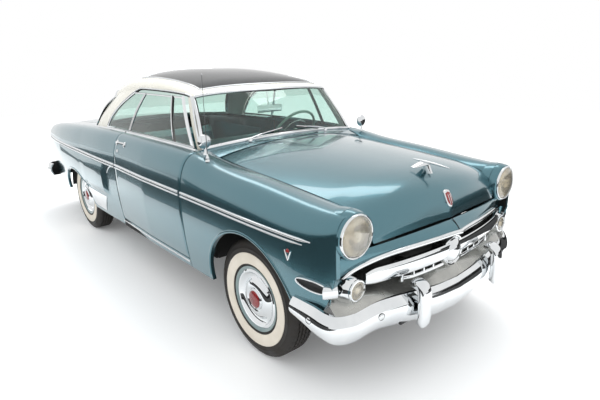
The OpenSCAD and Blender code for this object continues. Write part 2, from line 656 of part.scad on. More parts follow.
// The floor steps up behind the front seats, over the frame, and again at the trunk.
step_x = [-572, -1000];
step_z = 490.3;
module floor_pan() color("#34383b") {
    w = 589.7;
    translate([step_x[0], -700, floor_z - floor_t]) cube([cowl_front - 22 - step_x[0], 1400, floor_t]);
    translate([step_x[0], -w, floor_z - floor_t]) cube([12, 2 * w, step_z + floor_t - floor_z + floor_t]);
    translate([step_x[1], -w, step_z]) cube([step_x[0] + 12 - step_x[1], 2 * w, floor_t]);
    translate([step_x[1], -w, step_z]) cube([12, 2 * w, trunk_floor_z + floor_t - step_z]);
    translate([trunk_end, -w, trunk_floor_z]) cube([step_x[1] + 10 - trunk_end, 2 * w, floor_t]);
    translate([-1090, -575, trunk_floor_z]) cube([12, 1150, 460]);
    both() translate([quarter_x[1] + 6, 690, sill_z])
        cube([fender_x[0] - quarter_x[1] - 12, 840 * side_k - 690, 55]);
}
module inner_fenders() color("#34383b") both() {
    xs = spread(cowl_front - 6, 2200, 10);
    tops = [for (x = xs) edge_z(x) - panel_t - 3.2 * seat_gap];
    low = rail_top_f + seat_gap;
    outer = [for (i = [0:10]) let (x = xs[i], y = edge_y(x))
        [[x, 400, low], [x, 400, 705], [x, y + 10, 705], [x, y + 10, tops[i]]]];
    inner = [for (i = [0:10]) let (x = xs[i], y = edge_y(x))
        [[x, 391, low], [x, 391, 716], [x, y, 716], [x, y, tops[i]]]];
    slab(inner, outer);
}
module rear_wheelhouses() color("#34383b") both() translate([rear_axle_x, 590, hub_z]) rotate([-90, 0, 0])
    difference() {
        cylinder(r = 400, h = 210, $fn = 96);
        translate([0, 0, 12]) cylinder(r = 388, h = 210, $fn = 96);
        translate([-500, -floor_z + hub_z, -1]) cube([1000, 600, 300]);
    }
module engine_block() color("#2f3234") {
    translate([1190, -210, 330 + seat_gap]) cube([660, 420, 500]);
    translate([700, -110, 290]) cube([500, 220, 80]);
}
module fuel_tank() color("#2f3234") translate([-2270, -385, 385]) cube([500, 770, 560 - 385 - seat_gap]);
module exhaust() color("#6a6c6e") {
    translate([-2440, -330, 220]) rotate([0, 90, 0]) cylinder(r = 24, h = 3560);
    translate([-450, -330, 220]) rotate([0, 90, 0]) cylinder(r = 62, h = 560);
    for (x = [320, -530]) translate([x, -340, 235]) cube([20, 20, 15 - seat_gap]);
}
axle_r = 38;
spring_l = 1000;
spring_z = hub_z - 68;
module rear_axle() color("#2b2d2f") {
    translate([rear_axle_x, 0, hub_z]) rotate([90, 0, 0]) cylinder(r = axle_r, h = 1200, center = true);
    translate([rear_axle_x, 0, hub_z]) rotate([90, 0, 0])
        cylinder(r = spindle_r, h = track_r + 2 * stub, center = true);
    translate([rear_axle_x, 0, hub_z]) sphere(r = 130);
    translate([rear_axle_x + 100, 0, hub_z]) rotate([0, 90, 0])
        cylinder(r = 30, h = 700 - seat_gap - rear_axle_x - 100);
    both() {
        translate([rear_axle_x - spring_l / 2, rail_y + 5, spring_z]) cube([spring_l, 55, 30]);
        translate([rear_axle_x - 40, rail_y + 5, spring_z + 23]) cube([80, 55, hub_z - spring_z - 23]);
        for (d = [-spring_l / 2, spring_l / 2 - 40]) translate([rear_axle_x + d, rail_y + 5, spring_z + 13])
            cube([40, 55, RAIL[2][1] - spring_z - 13 - seat_gap]);
    }
}
// Heights of the kingpin's lower and upper eyes, and of the arms' inner ends.
eye_z = [[hub_z - 120, hub_z - 90], [hub_z + 110, hub_z + 140]];
arm_z = [225, 455];
arm_t = 30;
module front_suspension() color("#2b2d2f") both() difference() {
    union() {
        hull() {
            translate([front_axle_x, kingpin_y, eye_z[0][0]]) cylinder(r = 32, h = arm_t - seat_gap);
            translate([front_axle_x - 90, 400, arm_z[0]]) cube([180, 60, arm_t - seat_gap]);
        }
        hull() {
            translate([front_axle_x, kingpin_y, eye_z[1][0]]) cylinder(r = 32, h = 30);
            translate([front_axle_x - 70, 405, arm_z[1]]) cube([140, 50, arm_t]);
        }
        translate([front_axle_x - 48, 405, rail_top_f + seat_gap]) cube([96, 50, 70]);
    }
    translate([front_axle_x, kingpin_y, eye_z[0][0] - 25]) cylinder(r = kingpin_r + running, h = 320);
}
stub = 55;
module knuckle() {
    reach = track_f / 2 - kingpin_y;
    translate([front_axle_x, kingpin_y, eye_z[0][0] + 2])
        cylinder(r = kingpin_r, h = eye_z[1][1] - eye_z[0][0] - 4);
    translate([front_axle_x, kingpin_y, eye_z[0][1] + seat_gap])
        cylinder(r = 30, h = eye_z[1][0] - eye_z[0][1] - 2 * seat_gap);
    translate([front_axle_x, kingpin_y, hub_z]) rotate([-90, 0, 0]) {
        cylinder(r = 45, h = reach - hub_wall);
        cylinder(r = spindle_r, h = reach + stub);
    }
}
module knuckle_left() color("#2b2d2f") knuckle();
module knuckle_right() color("#2b2d2f") mirror([0, 1, 0]) knuckle();

// Wheel of pressed steel, its axis along +Y and its middle plane at y = 0.
module wheel() rotate([-90, 0, 0]) rotate_extrude($fn = 96) difference() {
    polygon([
        [0, 66], [50, 66], [60, 50], [150, 42], [168, 60], [rim_r - 6, 76], [rim_r, 76], [rim_r, -76],
        [rim_r - 8, -76], [rim_r - 20, -60], [rim_r - 26, 20], [150, 32], [56, 36],
        [50, -hub_wall + 1], [0, -hub_wall + 1],
    ]);
    translate([-1, -hub_wall - 1]) square([1 + spindle_r + running, hub_wall + stub + 2]);
}
tyre_side = [
    [rim_r, 68], [rim_r + 20, 76], [rim_r + 60, tyre_w / 2], [rim_r + 95, tyre_w / 2 - 2],
    [tyre_r - 22, tyre_w / 2 - 14], [tyre_r - 5, tyre_w / 2 - 26], [tyre_r, tyre_w / 2 - 38],
];
module tyre() rotate([-90, 0, 0]) rotate_extrude($fn = 96)
    polygon(concat(tyre_side, [for (i = [len(tyre_side) - 1:-1:0]) [tyre_side[i][0], -tyre_side[i][1]]]));

module at_front(side) translate([front_axle_x, side * track_f / 2, hub_z]) children();
module at_rear(side) translate([rear_axle_x, side * track_r / 2, hub_z]) children();
module wheel_front_left() color("#b9bcbe") at_front(1) wheel();
module wheel_front_right() color("#b9bcbe") at_front(-1) mirror([0, 1, 0]) wheel();
module wheel_rear_left() color("#b9bcbe") at_rear(1) wheel();
module wheel_rear_right() color("#b9bcbe") at_rear(-1) mirror([0, 1, 0]) wheel();
module tyre_front_left() color("#26221f") at_front(1) tyre();
module tyre_front_right() color("#26221f") at_front(-1) tyre();
module tyre_rear_left() color("#26221f") at_rear(1) tyre();
module tyre_rear_right() color("#26221f") at_rear(-1) tyre();

frame_rails();
crossmembers();
floor_pan();
cowl();
inner_fenders();
rear_wheelhouses();
front_fender_left();
front_fender_right();
quarter_panel_left();
quarter_panel_right();
rear_deck();
tail_panel();
roof_shell();
roof_glass();
windshield_glass();
rear_window_glass();
quarter_glass();
hood();
trunk_lid();
door_left();
door_right();
door_glass_left();
door_glass_right();
front_panel();
grille();
front_bumper();
rear_bumper();
front_lamps();
tail_lamps();
dashboard();
steering_column();
steering_wheel();
front_seat();
rear_seat();
mirrors();
antenna();
engine_block();
fuel_tank();
exhaust();
rear_axle();
front_suspension();
knuckle_left();
knuckle_right();
wheel_front_left();
wheel_front_right();
wheel_rear_left();
wheel_rear_right();
tyre_front_left();
tyre_front_right();
tyre_rear_left();
tyre_rear_right();
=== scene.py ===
"""A 1950s two-door hardtop car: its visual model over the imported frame.

Lengths are millimetres, +X is the front and +Y the car's left. Piece.make turns them into metres."""

import math

import bmesh
import bpy
import numpy as np
from mathutils import Matrix, Vector


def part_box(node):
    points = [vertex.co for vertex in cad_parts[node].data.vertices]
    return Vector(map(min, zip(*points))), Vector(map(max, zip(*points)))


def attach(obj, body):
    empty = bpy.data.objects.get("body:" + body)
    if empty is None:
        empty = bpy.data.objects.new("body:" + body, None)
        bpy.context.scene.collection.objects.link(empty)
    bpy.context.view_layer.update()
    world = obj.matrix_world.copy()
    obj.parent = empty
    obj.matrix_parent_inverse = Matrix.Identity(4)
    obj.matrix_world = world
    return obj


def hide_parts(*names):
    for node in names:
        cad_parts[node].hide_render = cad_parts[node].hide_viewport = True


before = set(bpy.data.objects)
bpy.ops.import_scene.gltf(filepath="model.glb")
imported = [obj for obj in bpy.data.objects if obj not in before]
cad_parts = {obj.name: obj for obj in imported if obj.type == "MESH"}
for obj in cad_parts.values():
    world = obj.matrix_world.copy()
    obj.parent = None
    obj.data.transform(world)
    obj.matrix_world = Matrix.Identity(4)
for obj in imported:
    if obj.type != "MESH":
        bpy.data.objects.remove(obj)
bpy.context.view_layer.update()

MM = 0.001
SIDES = (("left", 1), ("right", -1))

# ---------------------------------------------------------------- materials


def lin(code):
    """A hex colour as linear RGB."""
    rgb = [int(code[i:i + 2], 16) / 255 for i in (0, 2, 4)]
    return [c / 12.92 if c <= 0.04045 else ((c + 0.055) / 1.055) ** 2.4 for c in rgb] + [1]


def material(name, dark, light, scale=8.0, detail=3.0, spread=(0.35, 0.65), rough=(0.4, 0.5), bump=0.0,
             bump_scale=60.0, bump_size=0.001, stretch=(1, 1, 1), kind="noise", **sockets):
    """A Principled material whose colour and roughness vary with noise, with an optional fine bump.
    sockets are the shader's own values, named with _ for each space."""
    m = bpy.data.materials.new(name)
    m.use_nodes = True
    nodes, links = m.node_tree.nodes, m.node_tree.links
    shader = nodes["Principled BSDF"]
    place = nodes.new("ShaderNodeTexCoord")
    mapping = nodes.new("ShaderNodeMapping")
    mapping.inputs["Scale"].default_value = stretch
    links.new(place.outputs["Object"], mapping.inputs["Vector"])
    noise = nodes.new("ShaderNodeTexNoise")
    noise.inputs["Scale"].default_value = scale
    noise.inputs["Detail"].default_value = detail
    links.new(mapping.outputs[0], noise.inputs["Vector"])
    ramp = nodes.new("ShaderNodeValToRGB")
    ramp.color_ramp.elements[0].position, ramp.color_ramp.elements[1].position = spread
    ramp.color_ramp.elements[0].color, ramp.color_ramp.elements[1].color = lin(dark), lin(light)
    links.new(noise.outputs["Fac"], ramp.inputs["Fac"])
    links.new(ramp.outputs["Color"], shader.inputs["Base Color"])
    span = nodes.new("ShaderNodeMapRange")
    span.inputs["From Min"].default_value, span.inputs["From Max"].default_value = spread
    span.inputs["To Min"].default_value, span.inputs["To Max"].default_value = rough
    links.new(noise.outputs["Fac"], span.inputs["Value"])
    links.new(span.outputs["Result"], shader.inputs["Roughness"])
    if bump:
        if kind == "noise":
            fine = nodes.new("ShaderNodeTexNoise")
            fine.inputs["Detail"].default_value = 2.0
        elif kind == "cells":
            fine = nodes.new("ShaderNodeTexVoronoi")
        else:
            fine = nodes.new("ShaderNodeTexWave")
            fine.bands_direction = kind
        fine.inputs["Scale"].default_value = bump_scale
        links.new(mapping.outputs[0], fine.inputs["Vector"])
        bumper = nodes.new("ShaderNodeBump")
        bumper.inputs["Strength"].default_value = bump
        bumper.inputs["Distance"].default_value = bump_size
        links.new(fine.outputs[0], bumper.inputs["Height"])
        links.new(bumper.outputs["Normal"], shader.inputs["Normal"])
    for key, value in sockets.items():
        shader.inputs[key.replace("_", " ")].default_value = value
    return m


PAINT = material("paint_blue", "47717c", "547f89", scale=900, detail=1, rough=(0.19, 0.25), bump=0.03,
                 bump_scale=500, bump_size=0.0005, Metallic=0.85, Coat_Weight=1.0, Coat_Roughness=0.02)
CREAM = material("paint_cream", "ece8da", "f2eee2", scale=5, rough=(0.24, 0.30), bump=0.02, bump_scale=420,
                 bump_size=0.0004, Coat_Weight=0.8, Coat_Roughness=0.05)
CHROME = material("chrome", "dcdfe1", "e8eaeb", scale=7, rough=(0.03, 0.07), Metallic=1.0)
SATIN = material("silver_paint", "a9a9a5", "b8b8b3", scale=9, rough=(0.2, 0.28), bump=0.04, bump_scale=300,
                 Metallic=0.75)
GLASS = material("window_glass", "d6ebe4", "deefe9", scale=3, rough=(0.0, 0.01), IOR=1.45,
                 Transmission_Weight=1.0)
SMOKED = material("roof_glass_tint", "22272a", "2b3033", scale=3, rough=(0.05, 0.09), IOR=1.5,
                  Transmission_Weight=0.7)
# lamp lenses: glass that lets most light through, with a pale cream colour that paints in the brightness of the
# lit reflector behind it
LENS_PAINTED_BRIGHT = material("lens_glass_painted_bright", "efe8d8", "fbf8f0", scale=14, detail=2, rough=(0.02, 0.06), bump=0.3,
                bump_scale=22, bump_size=0.002, stretch=(1, 1, 0.3), kind="Y", IOR=1.45,
                Transmission_Weight=0.88, Coat_Weight=1.0, Coat_Roughness=0.01)
REFLECTOR = material("lamp_reflector", "f4efe4", "fcf9f1", scale=12, rough=(0.16, 0.24), Metallic=0.8)
RED = material("red_enamel", "7c1216", "8e181c", scale=20, rough=(0.18, 0.26), Coat_Weight=0.7)
TAIL = material("tail_lens", "8a0a0c", "a50f10", scale=14, rough=(0.08, 0.14), bump=0.6, bump_scale=34,
                bump_size=0.003, kind="Z", Transmission_Weight=0.35, Coat_Weight=0.6)
BLACK = material("black_trim", "0b0c0c", "151616", scale=14, rough=(0.4, 0.55), bump=0.1, bump_scale=150)
# near black: painted shade in the grille opening, and the colour of the dark studio cards
SHADE_AND_CARD_BLACK = material("grille_painted_shade_and_card_black", "050606", "0b0c0d", scale=6, rough=(0.6, 0.75))
RUBBER = material("tyre_rubber", "1c1815", "2a2520", scale=11, rough=(0.55, 0.75), bump=0.35, bump_scale=90,
                  bump_size=0.0012)
WHITEWALL = material("whitewall", "e0d6c6", "ece3d5", scale=8, rough=(0.42, 0.55), bump=0.08, bump_scale=120)
FRAME = material("chassis_black", "141516", "222425", scale=6, rough=(0.45, 0.65), bump=0.3, bump_scale=45,
                 bump_size=0.002)
UNDER = material("underseal", "1b1c1c", "2c2d2c", scale=9, rough=(0.7, 0.9), bump=0.7, bump_scale=70,
                 bump_size=0.003)
STEEL = material("worn_steel", "55585a", "777a7b", scale=10, rough=(0.35, 0.55), bump=0.15, bump_scale=60,
                 Metallic=0.8)
IRON = material("cast_iron", "2a2d2e", "3a3d3d", scale=14, rough=(0.5, 0.7), bump=0.8, bump_scale=130,
                bump_size=0.0012, Metallic=0.4)
VINYL = material("seat_vinyl", "336571", "3d7380", scale=6, rough=(0.38, 0.5), bump=0.5, bump_scale=420,
                 bump_size=0.0006, kind="cells", Coat_Weight=0.1)
VINYL_PALE = material("seat_vinyl_pale", "6f9da2", "7daaae", scale=6, rough=(0.38, 0.5), bump=0.5,
                      bump_scale=420, bump_size=0.0006, kind="cells", Coat_Weight=0.1)
CARPET = material("carpet", "16292e", "24404a", scale=160, rough=(0.85, 0.95), bump=0.9, bump_scale=320,
                  bump_size=0.004)
DASH = material("dash_paint", "41707d", "4b7a87", scale=4, rough=(0.26, 0.34), Coat_Weight=0.7)
HEADLINER = material("headliner", "a5b3ae", "b4c0bb", scale=5, rough=(0.75, 0.9), bump=0.4, bump_scale=200,
                     kind="X")
WHEEL_GREEN = material("steering_plastic", "8fb3a6", "9dc0b3", scale=9, rough=(0.22, 0.3), Coat_Weight=0.5)
WHEEL_GREY = material("wheel_paint", "7d9091", "899b9b", scale=9, rough=(0.3, 0.38), Coat_Weight=0.6)
ENGINE_PAINT = material("engine_paint", "33454b", "3e5258", scale=12, rough=(0.35, 0.5), bump=0.3,
                        bump_scale=80)
GAUGE = material("gauge_face", "1a2628", "25363a", scale=40, rough=(0.25, 0.35), Coat_Weight=0.8)
MIRROR = material("mirror_glass", "c8ced0", "d2d8da", scale=3, rough=(0.0, 0.02), Metallic=1.0)
FLOOR = material("studio_floor", "f2f2f1", "f6f6f5", scale=0.6, rough=(0.8, 0.9))

# ---------------------------------------------------------------- curves from the tables

BODY = [
    [-2420, 768, 800, 655, 946, 560], [-2360, 786, 795, 668, 962, 500], [-2200, 812, 785, 700, 986, 430],
    [-1850, 850, 775, 724, 1024, 372], [-1266, 884, 765, 736, 1062, 330], [-600, 894, 760, 742, 1088, 330],
    [-150, 888, 760, 742, 1096, 330], [400, 885, 760, 742, 1098, 330], [1000, 882, 760, 722, 1085, 330],
    [1300, 881, 758, 706, 1052, 330], [1668, 880, 756, 700, 1026, 330], [2000, 872, 765, 698, 996, 440],
    [2150, 856, 795, 694, 986, 478], [2240, 834, 835, 691, 982, 520], [2300, 806, 868, 691, 980, 690],
]
HOOD = [
    [1120, 1112, 1120, 634, 1050], [1400, 1104, 1400, 628, 1024], [1700, 1090, 1700, 625, 1004],
    [2000, 1066, 1990, 620, 980], [2150, 1044, 2110, 610, 964], [2250, 1012, 2190, 600, 946],
    [2310, 970, 2240, 591, 920], [2345, 915, 2275, 582, 882], [2364, 862, 2297, 571, 838],
    [2370, 817, 2310, 560, 797],
]
TRUNK = [
    [-1340, 1078, -1340, 600, 1056], [-1600, 1069, -1600, 596, 1042], [-1900, 1044, -1890, 588, 1018],
    [-2150, 1004, -2130, 575, 984], [-2290, 955, -2265, 560, 938], [-2370, 890, -2340, 548, 876],
    [-2408, 800, -2380, 538, 790], [-2424, 700, -2398, 530, 695], [-2428, 625, -2404, 526, 622],
]
ROOF = [
    [790, 1436, 742, 600, 1404, 962, 683], [735, 1470, 690, 606, 1416, 908, 685],
    [600, 1516, 590, 612, 1426, 700, 718], [350, 1558, 350, 617, 1434, 420, 720],
    [60, 1579, 60, 616, 1436, 100, 720], [-270, 1571, -110, 612, 1430, -610, 720],
    [-480, 1540, -330, 606, 1414, -700, 719], [-640, 1496, -500, 600, 1390, -790, 718],
    [-740, 1456, -640, 594, 1352, -880, 716],
]
BUMPER = [
    [0, 2462, 315, 490], [180, 2456, 326, 498], [340, 2444, 352, 516], [500, 2420, 374, 530],
    [615, 2394, 378, 528], [730, 2354, 340, 494], [820, 2322, 352, 500], [866, 2276, 374, 516],
    [888, 2200, 398, 536], [896, 2070, 440, 540],
]
BUMPER_REAR = [
    [0, 2488, 345, 520], [300, 2484, 350, 522], [560, 2472, 356, 526], [700, 2454, 360, 528],
    [800, 2424, 366, 530], [862, 2370, 376, 536], [890, 2280, 392, 544], [896, 2130, 420, 548],
]
FRONT_AXLE, REAR_AXLE, HUB_Z = 1668.0, -1266.0, 345.0
ARCH_R, ARCH_REAR = 400.0, (410.0, 290.0)
SILL, TUCK, SHOULDER = 330.0, 42.0, 2.6
PANEL, DOOR_T, GAP, LID = 24.0, 110.0, 8.0, 18.0
DOOR_X, DOOR_LOW, DOOR_LEDGE, DOOR_RAKE = (-132.0, 996.0), 392.0, 30.0, 14.0
LAMP, TAIL_LAMP, POD = (2300.0, 691.0, 870.0), (-2420.0, 655.0, 800.0), (2250.0, 684.0, 601.0)
STEER, STEER_R, SLOPE = (640.0, 370.0, 1060.0), 205.0, math.radians(32)
TRACK_F, TRACK_R, TYRE_W, VALVE_AT = 1473.0, 1422.0, 170.0, math.radians(35)


def stack(*coordinates):
    """Points from their coordinates, each an array or a number."""
    return np.stack(np.broadcast_arrays(*coordinates), -1)


def hermite(s, h, a, b, slope_a, slope_b):
    """A cubic at s, from 0 to 1 over the length h, with its values and slopes at both ends."""
    return ((2 * s**3 - 3 * s**2 + 1) * a + (s**3 - 2 * s**2 + s) * h * slope_a
            + (3 * s**2 - 2 * s**3) * b + (s**3 - s**2) * h * slope_b)


def smooth(x, table, col):
    """Column col at x, on a smooth curve through the rows of a table with rising x."""
    t = np.asarray(table, float)
    xs, ys = t[:, 0], t[:, col]
    x = np.clip(np.asarray(x, float), xs[0], xs[-1])
    i = np.clip(np.searchsorted(xs, x, side="right") - 1, 0, len(xs) - 2)
    k = np.arange(len(xs))
    a, b = np.maximum(k - 1, 0), np.minimum(k + 1, len(xs) - 1)
    m = (ys[b] - ys[a]) / (xs[b] - xs[a])
    h = xs[i + 1] - xs[i]
    s = (x - xs[i]) / h
    return hermite(s, h, ys[i], ys[i + 1], m[i], m[i + 1])


def finer(table, n):
    """The rows of a table with n - 1 smooth rows put in between each pair."""
    t = np.asarray(table, float)
    k, end = np.arange(len(t)), len(t) - 1
    m = t[np.minimum(k + 1, end)] - t[np.maximum(k - 1, 0)]
    m *= np.where((k == 0) | (k == end), 1.0, 0.5)[:, None]
    u = np.linspace(0, len(t) - 1, (len(t) - 1) * n + 1)
    i = np.minimum(u.astype(int), len(t) - 2)
    s = (u - i)[:, None]
    return hermite(s, 1, t[i], t[i + 1], m[i], m[i + 1])


EDGE = ([[r[2], r[3] + GAP, r[4]] for r in TRUNK[::-1]]
        + [[-1200, 622, 1065], [-960, 664, 1078], [-700, 671, 1084], [-150, 671, 1094], [1000, 655, 1082],
           [1080, 650, 1064]]
        + [[r[2], r[3] + GAP, r[4]] for r in HOOD])


# how far the side is drawn in behind the door, and where that comes and goes: from where, over what length
DRAWN_IN, DRAWN_START, DRAWN_END = 17, (420, 520), (-1700, 700)


def side_y(x):
    """Half width of the body, drawn in behind the door so that the scoop and mouldings stay inside the part."""
    x = np.asarray(x, float)
    start, end = (DRAWN_START[0] - x) / DRAWN_START[1], (x - DRAWN_END[0]) / DRAWN_END[1]
    return smooth(x, BODY, 1) - DRAWN_IN * np.clip(start, 0, 1) * np.clip(end, 0, 1)


def side_z(x): return smooth(x, BODY, 2)
def crown_y(x): return smooth(x, BODY, 3)
def crown_z(x): return smooth(x, BODY, 4)
def lower_z(x): return smooth(x, BODY, 5)
def edge_y(x): return smooth(x, EDGE, 1)
def edge_z(x): return smooth(x, EDGE, 2)


SCOOP_X, SCOOP_RAMP, SCOOP_OUT, SCOOP_Z = -345.0, 85.0, 16.0, (548.0, 806.0)


def scoop(x, z):
    """How far the dummy scoop in the quarter panel stands out at x and height z."""
    ramp = np.clip((SCOOP_X - x) / SCOOP_RAMP, 0, 1)
    fade = np.clip((x + 2050) / 1150, 0, 1) ** 0.8
    band = np.clip((SCOOP_Z[1] - z) / 14, 0, 1) * np.clip((z - SCOOP_Z[0]) / 30, 0, 1)
    return SCOOP_OUT * ramp * np.where(x < SCOOP_X, fade, 0) * band


def body_y(x, z):
    """Half width of the body's outer side at x and height z."""
    x, z = np.asarray(x, float), np.asarray(z, float)
    sz, sy, cy, cz = side_z(x), side_y(x), crown_y(x), crown_z(x)
    low = sy - TUCK * ((sz - z) / (sz - SILL)) ** 2
    s = np.clip((z - sz) / (cz - sz), 0, 1)
    a = np.arcsin(s ** (SHOULDER / 2))
    return np.where(z <= sz, low, cy + (sy - cy) * np.cos(a) ** (2 / SHOULDER)) + scoop(x, z)


def body_point(x, z, out=0.0):
    """Points on the body's left side with their outward normals, moved out by a distance."""
    x, z = np.broadcast_arrays(np.asarray(x, float), np.asarray(z, float))
    p = stack(x, body_y(x, z), z)
    du = stack(np.full_like(x, 4.0), body_y(x + 2, z) - body_y(x - 2, z), np.zeros_like(x))
    dv = stack(np.zeros_like(x), body_y(x, z + 2) - body_y(x, z - 2), np.full_like(x, 4.0))
    n = np.cross(dv, du)
    n /= np.linalg.norm(n, axis=-1, keepdims=True)
    return p + n * out, n


def section(x, low, edge, counts=(14, 18, 8)):
    """Points [y, z, angle] of the body side at x, from height low up over the crown and in to edge."""
    sy, sz, cy, cz = (float(f(x)) for f in (side_y, side_z, crown_y, crown_z))
    z = np.linspace(low, sz, counts[0] + 1)
    y = sy - TUCK * ((sz - z) / (sz - SILL)) ** 2
    rows = [stack(y, z, 0 * z)]
    a = np.linspace(0, np.pi / 2, counts[1] + 1)[1:]
    k = 2 / SHOULDER
    rows.append(stack(cy + (sy - cy) * np.cos(a) ** k, sz + (cz - sz) * np.sin(a) ** k, a))
    v = np.linspace(0, 1, counts[2] + 1)[1:]
    rows.append(stack(cy + (edge[0] - cy) * v, cz + (edge[1] - cz) * v**2, 0 * v + np.pi / 2))
    out = np.concatenate(rows)
    out[:, 0] += scoop(x, out[:, 1]) * (out[:, 2] < 0.5)
    return out


# ---------------------------------------------------------------- meshes


def put(name, data):
    """A new object in the scene."""
    o = bpy.data.objects.new(name, data)
    bpy.context.scene.collection.objects.link(o)
    return o


class Piece:
    """Collects surfaces, in millimetres, and makes them into one Blender object."""

    def __init__(self):
        self.verts, self.faces, self.mats, self.index = [], [], [], []

    def add(self, verts, faces, mat):
        if mat not in self.mats:
            self.mats.append(mat)
        base = sum(len(v) for v in self.verts)
        self.verts.append(np.asarray(verts, float).reshape(-1, 3))
        self.faces += [[base + i for i in f] for f in faces]
        self.index += [self.mats.index(mat)] * len(faces)
        return self

    def grid(self, g, mat, wrap_u=False, wrap_v=False, gone=None):
        g = np.asarray(g, float)
        n, m = g.shape[:2]
        return self.add(g, cells(n, m, wrap_u, wrap_v, gone), mat)

    def slab(self, outer, inner, mat, gone=None, inner_mat=None):
        """A closed shell between two grids of points."""
        outer, inner = np.asarray(outer, float), np.asarray(inner, float)
        n, m = outer.shape[:2]
        self.add(outer, cells(n, m, gone=gone), mat)
        self.add(inner, [f[::-1] for f in cells(n, m, gone=gone)], inner_mat or mat)
        full = np.ones((n - 1, m - 1), bool) if gone is None else ~gone
        rim = []
        for i in range(n - 1):
            for j in range(m - 1):
                if not full[i, j]:
                    continue
                a, b, c, d = i * m + j, i * m + j + 1, (i + 1) * m + j + 1, (i + 1) * m + j
                if i == 0 or not full[i - 1, j]: rim.append((a, b))
                if i == n - 2 or not full[i + 1, j]: rim.append((c, d))
                if j == 0 or not full[i, j - 1]: rim.append((d, a))
                if j == m - 2 or not full[i, j + 1]: rim.append((b, c))
        both = np.concatenate([outer.reshape(-1, 3), inner.reshape(-1, 3)])
        return self.add(both, [[b, a, n * m + a, n * m + b] for a, b in rim], mat)

    def shell(self, g, t, mat, gone=None, inner_mat=None):
        """A closed shell from a grid and the same grid moved by t along its normals."""
        g = np.asarray(g, float)
        return self.slab(g, g + normals(g) * t, mat, gone, inner_mat)

    def sweep(self, path, profile, mat, up=None, scale=None, closed=False, cap=True):
        """A profile [(side, up)] carried along a path; up gives the surface normal at each point."""
        path = np.asarray(path, float)
        n = len(path)
        t = (np.roll(path, -1, 0) - np.roll(path, 1, 0)) if closed else np.gradient(path, axis=0)
        t /= np.linalg.norm(t, axis=1, keepdims=True)
        u = np.broadcast_to(np.asarray((0, 0, 1) if up is None else up, float), (n, 3)).copy()
        u -= t * (u * t).sum(1, keepdims=True)
        u /= np.maximum(np.linalg.norm(u, axis=1, keepdims=True), 1e-9)
        s = np.cross(t, u)
        k = np.ones(n) if scale is None else np.asarray(scale, float)
        prof = np.asarray(profile, float)
        side, up = s[:, None] * prof[None, :, :1], u[:, None] * prof[None, :, 1:]
        g = path[:, None] + (side + up) * k[:, None, None]
        self.add(g, cells(n, len(prof), closed, True), mat)
        if cap and not closed:
            self.add(g[0], [list(range(len(prof)))], mat)
            self.add(g[-1], [list(range(len(prof)))[::-1]], mat)
        return self

    def tube(self, path, r, mat, sides=10, **more):
        a = np.arange(sides) * 2 * np.pi / sides
        path = np.asarray(path, float)
        t = path[-1] - path[0]
        up = (0, 0, 1) if abs(t[2]) < 0.9 * np.linalg.norm(t) + 1e-9 else (1, 0, 0)
        more.setdefault("up", up)
        return self.sweep(path, stack(np.cos(a), np.sin(a)) * r, mat, **more)

    def lathe(self, profile, centre, axis, mat, sides=48, squash=(1, 1)):
        """A profile [(radius, height)] turned round an axis through centre."""
        axis = np.asarray(axis, float) / np.linalg.norm(axis)
        e1 = np.cross(axis, (0, 0, 1) if abs(axis[2]) < 0.9 else (1, 0, 0))
        e1 /= np.linalg.norm(e1)
        e2 = np.cross(axis, e1)
        a = np.arange(sides) * 2 * np.pi / sides
        ring = np.cos(a)[:, None] * e1 * squash[0] + np.sin(a)[:, None] * e2 * squash[1]
        p = np.asarray(profile, float)
        g = np.asarray(centre, float) + p[:, None, 1:] * axis + p[:, None, :1] * ring[None]
        return self.add(g, cells(len(p), sides, False, True), mat)

    def turn(self, centre, axis, *rows):
        """Lathes that share a centre and an axis: rows of a profile, its finish and its sides."""
        for row in rows:
            self.lathe(row[0], centre, axis, *row[1:])
        return self

    def block(self, lo, hi, mat, bevel=3.0, turn=None, about=None):
        """A box with rounded edges."""
        bm = bmesh.new()
        bmesh.ops.create_cube(bm, size=1)
        size, mid = np.subtract(hi, lo), np.add(hi, lo) / 2
        for v in bm.verts:
            v.co = Vector(np.array(v.co) * size + mid)
        if bevel:
            bevel = min(bevel, min(size) * 0.45)
            bmesh.ops.bevel(bm, geom=bm.edges[:], offset=bevel, segments=3, profile=0.5, affect="EDGES")
        v = np.array([v.co for v in bm.verts])
        if turn is not None:
            about = mid if about is None else np.asarray(about, float)
            v = (v - about) @ np.array(turn).T + about
        bm.verts.index_update()
        self.add(v, [[x.index for x in f.verts] for f in bm.faces], mat)
        bm.free()
        return self

    def mirrored(self):
        """The same piece on the other side of the car."""
        out = Piece()
        out.verts = [v * (1, -1, 1) for v in self.verts]
        out.faces = [f[::-1] for f in self.faces]
        out.mats, out.index = self.mats, self.index
        return out

    def both(self):
        """This piece and its mirror image, as one."""
        return self.join(self.mirrored())

    def join(self, other):
        base = sum(len(v) for v in self.verts)
        self.verts = self.verts + other.verts
        self.faces = self.faces + [[base + i for i in f] for f in other.faces]
        index = [other.mats[i] for i in other.index]
        self.mats = self.mats + [m for m in other.mats if m not in self.mats]
        self.index = self.index + [self.mats.index(m) for m in index]
        return self

    def make(self, name, body="body", replaces=(), slot=None, sharp=32):
        me = bpy.data.meshes.new(name)
        me.from_pydata((np.concatenate(self.verts) * MM).tolist(), [], self.faces)
        me.polygons.foreach_set("material_index", self.index)
        bm = bmesh.new()
        bm.from_mesh(me)
        bmesh.ops.remove_doubles(bm, verts=bm.verts, dist=2e-6)
        bmesh.ops.recalc_face_normals(bm, faces=bm.faces)
        bm.to_mesh(me)
        bm.free()
        me.polygons.foreach_set("use_smooth", [True] * len(me.polygons))
        me.set_sharp_from_angle(angle=math.radians(sharp))
        for m in self.mats:
            me.materials.append(m)
        o = put(name, me)
        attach(o, body)
        if replaces:
            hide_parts(*replaces)
        return o


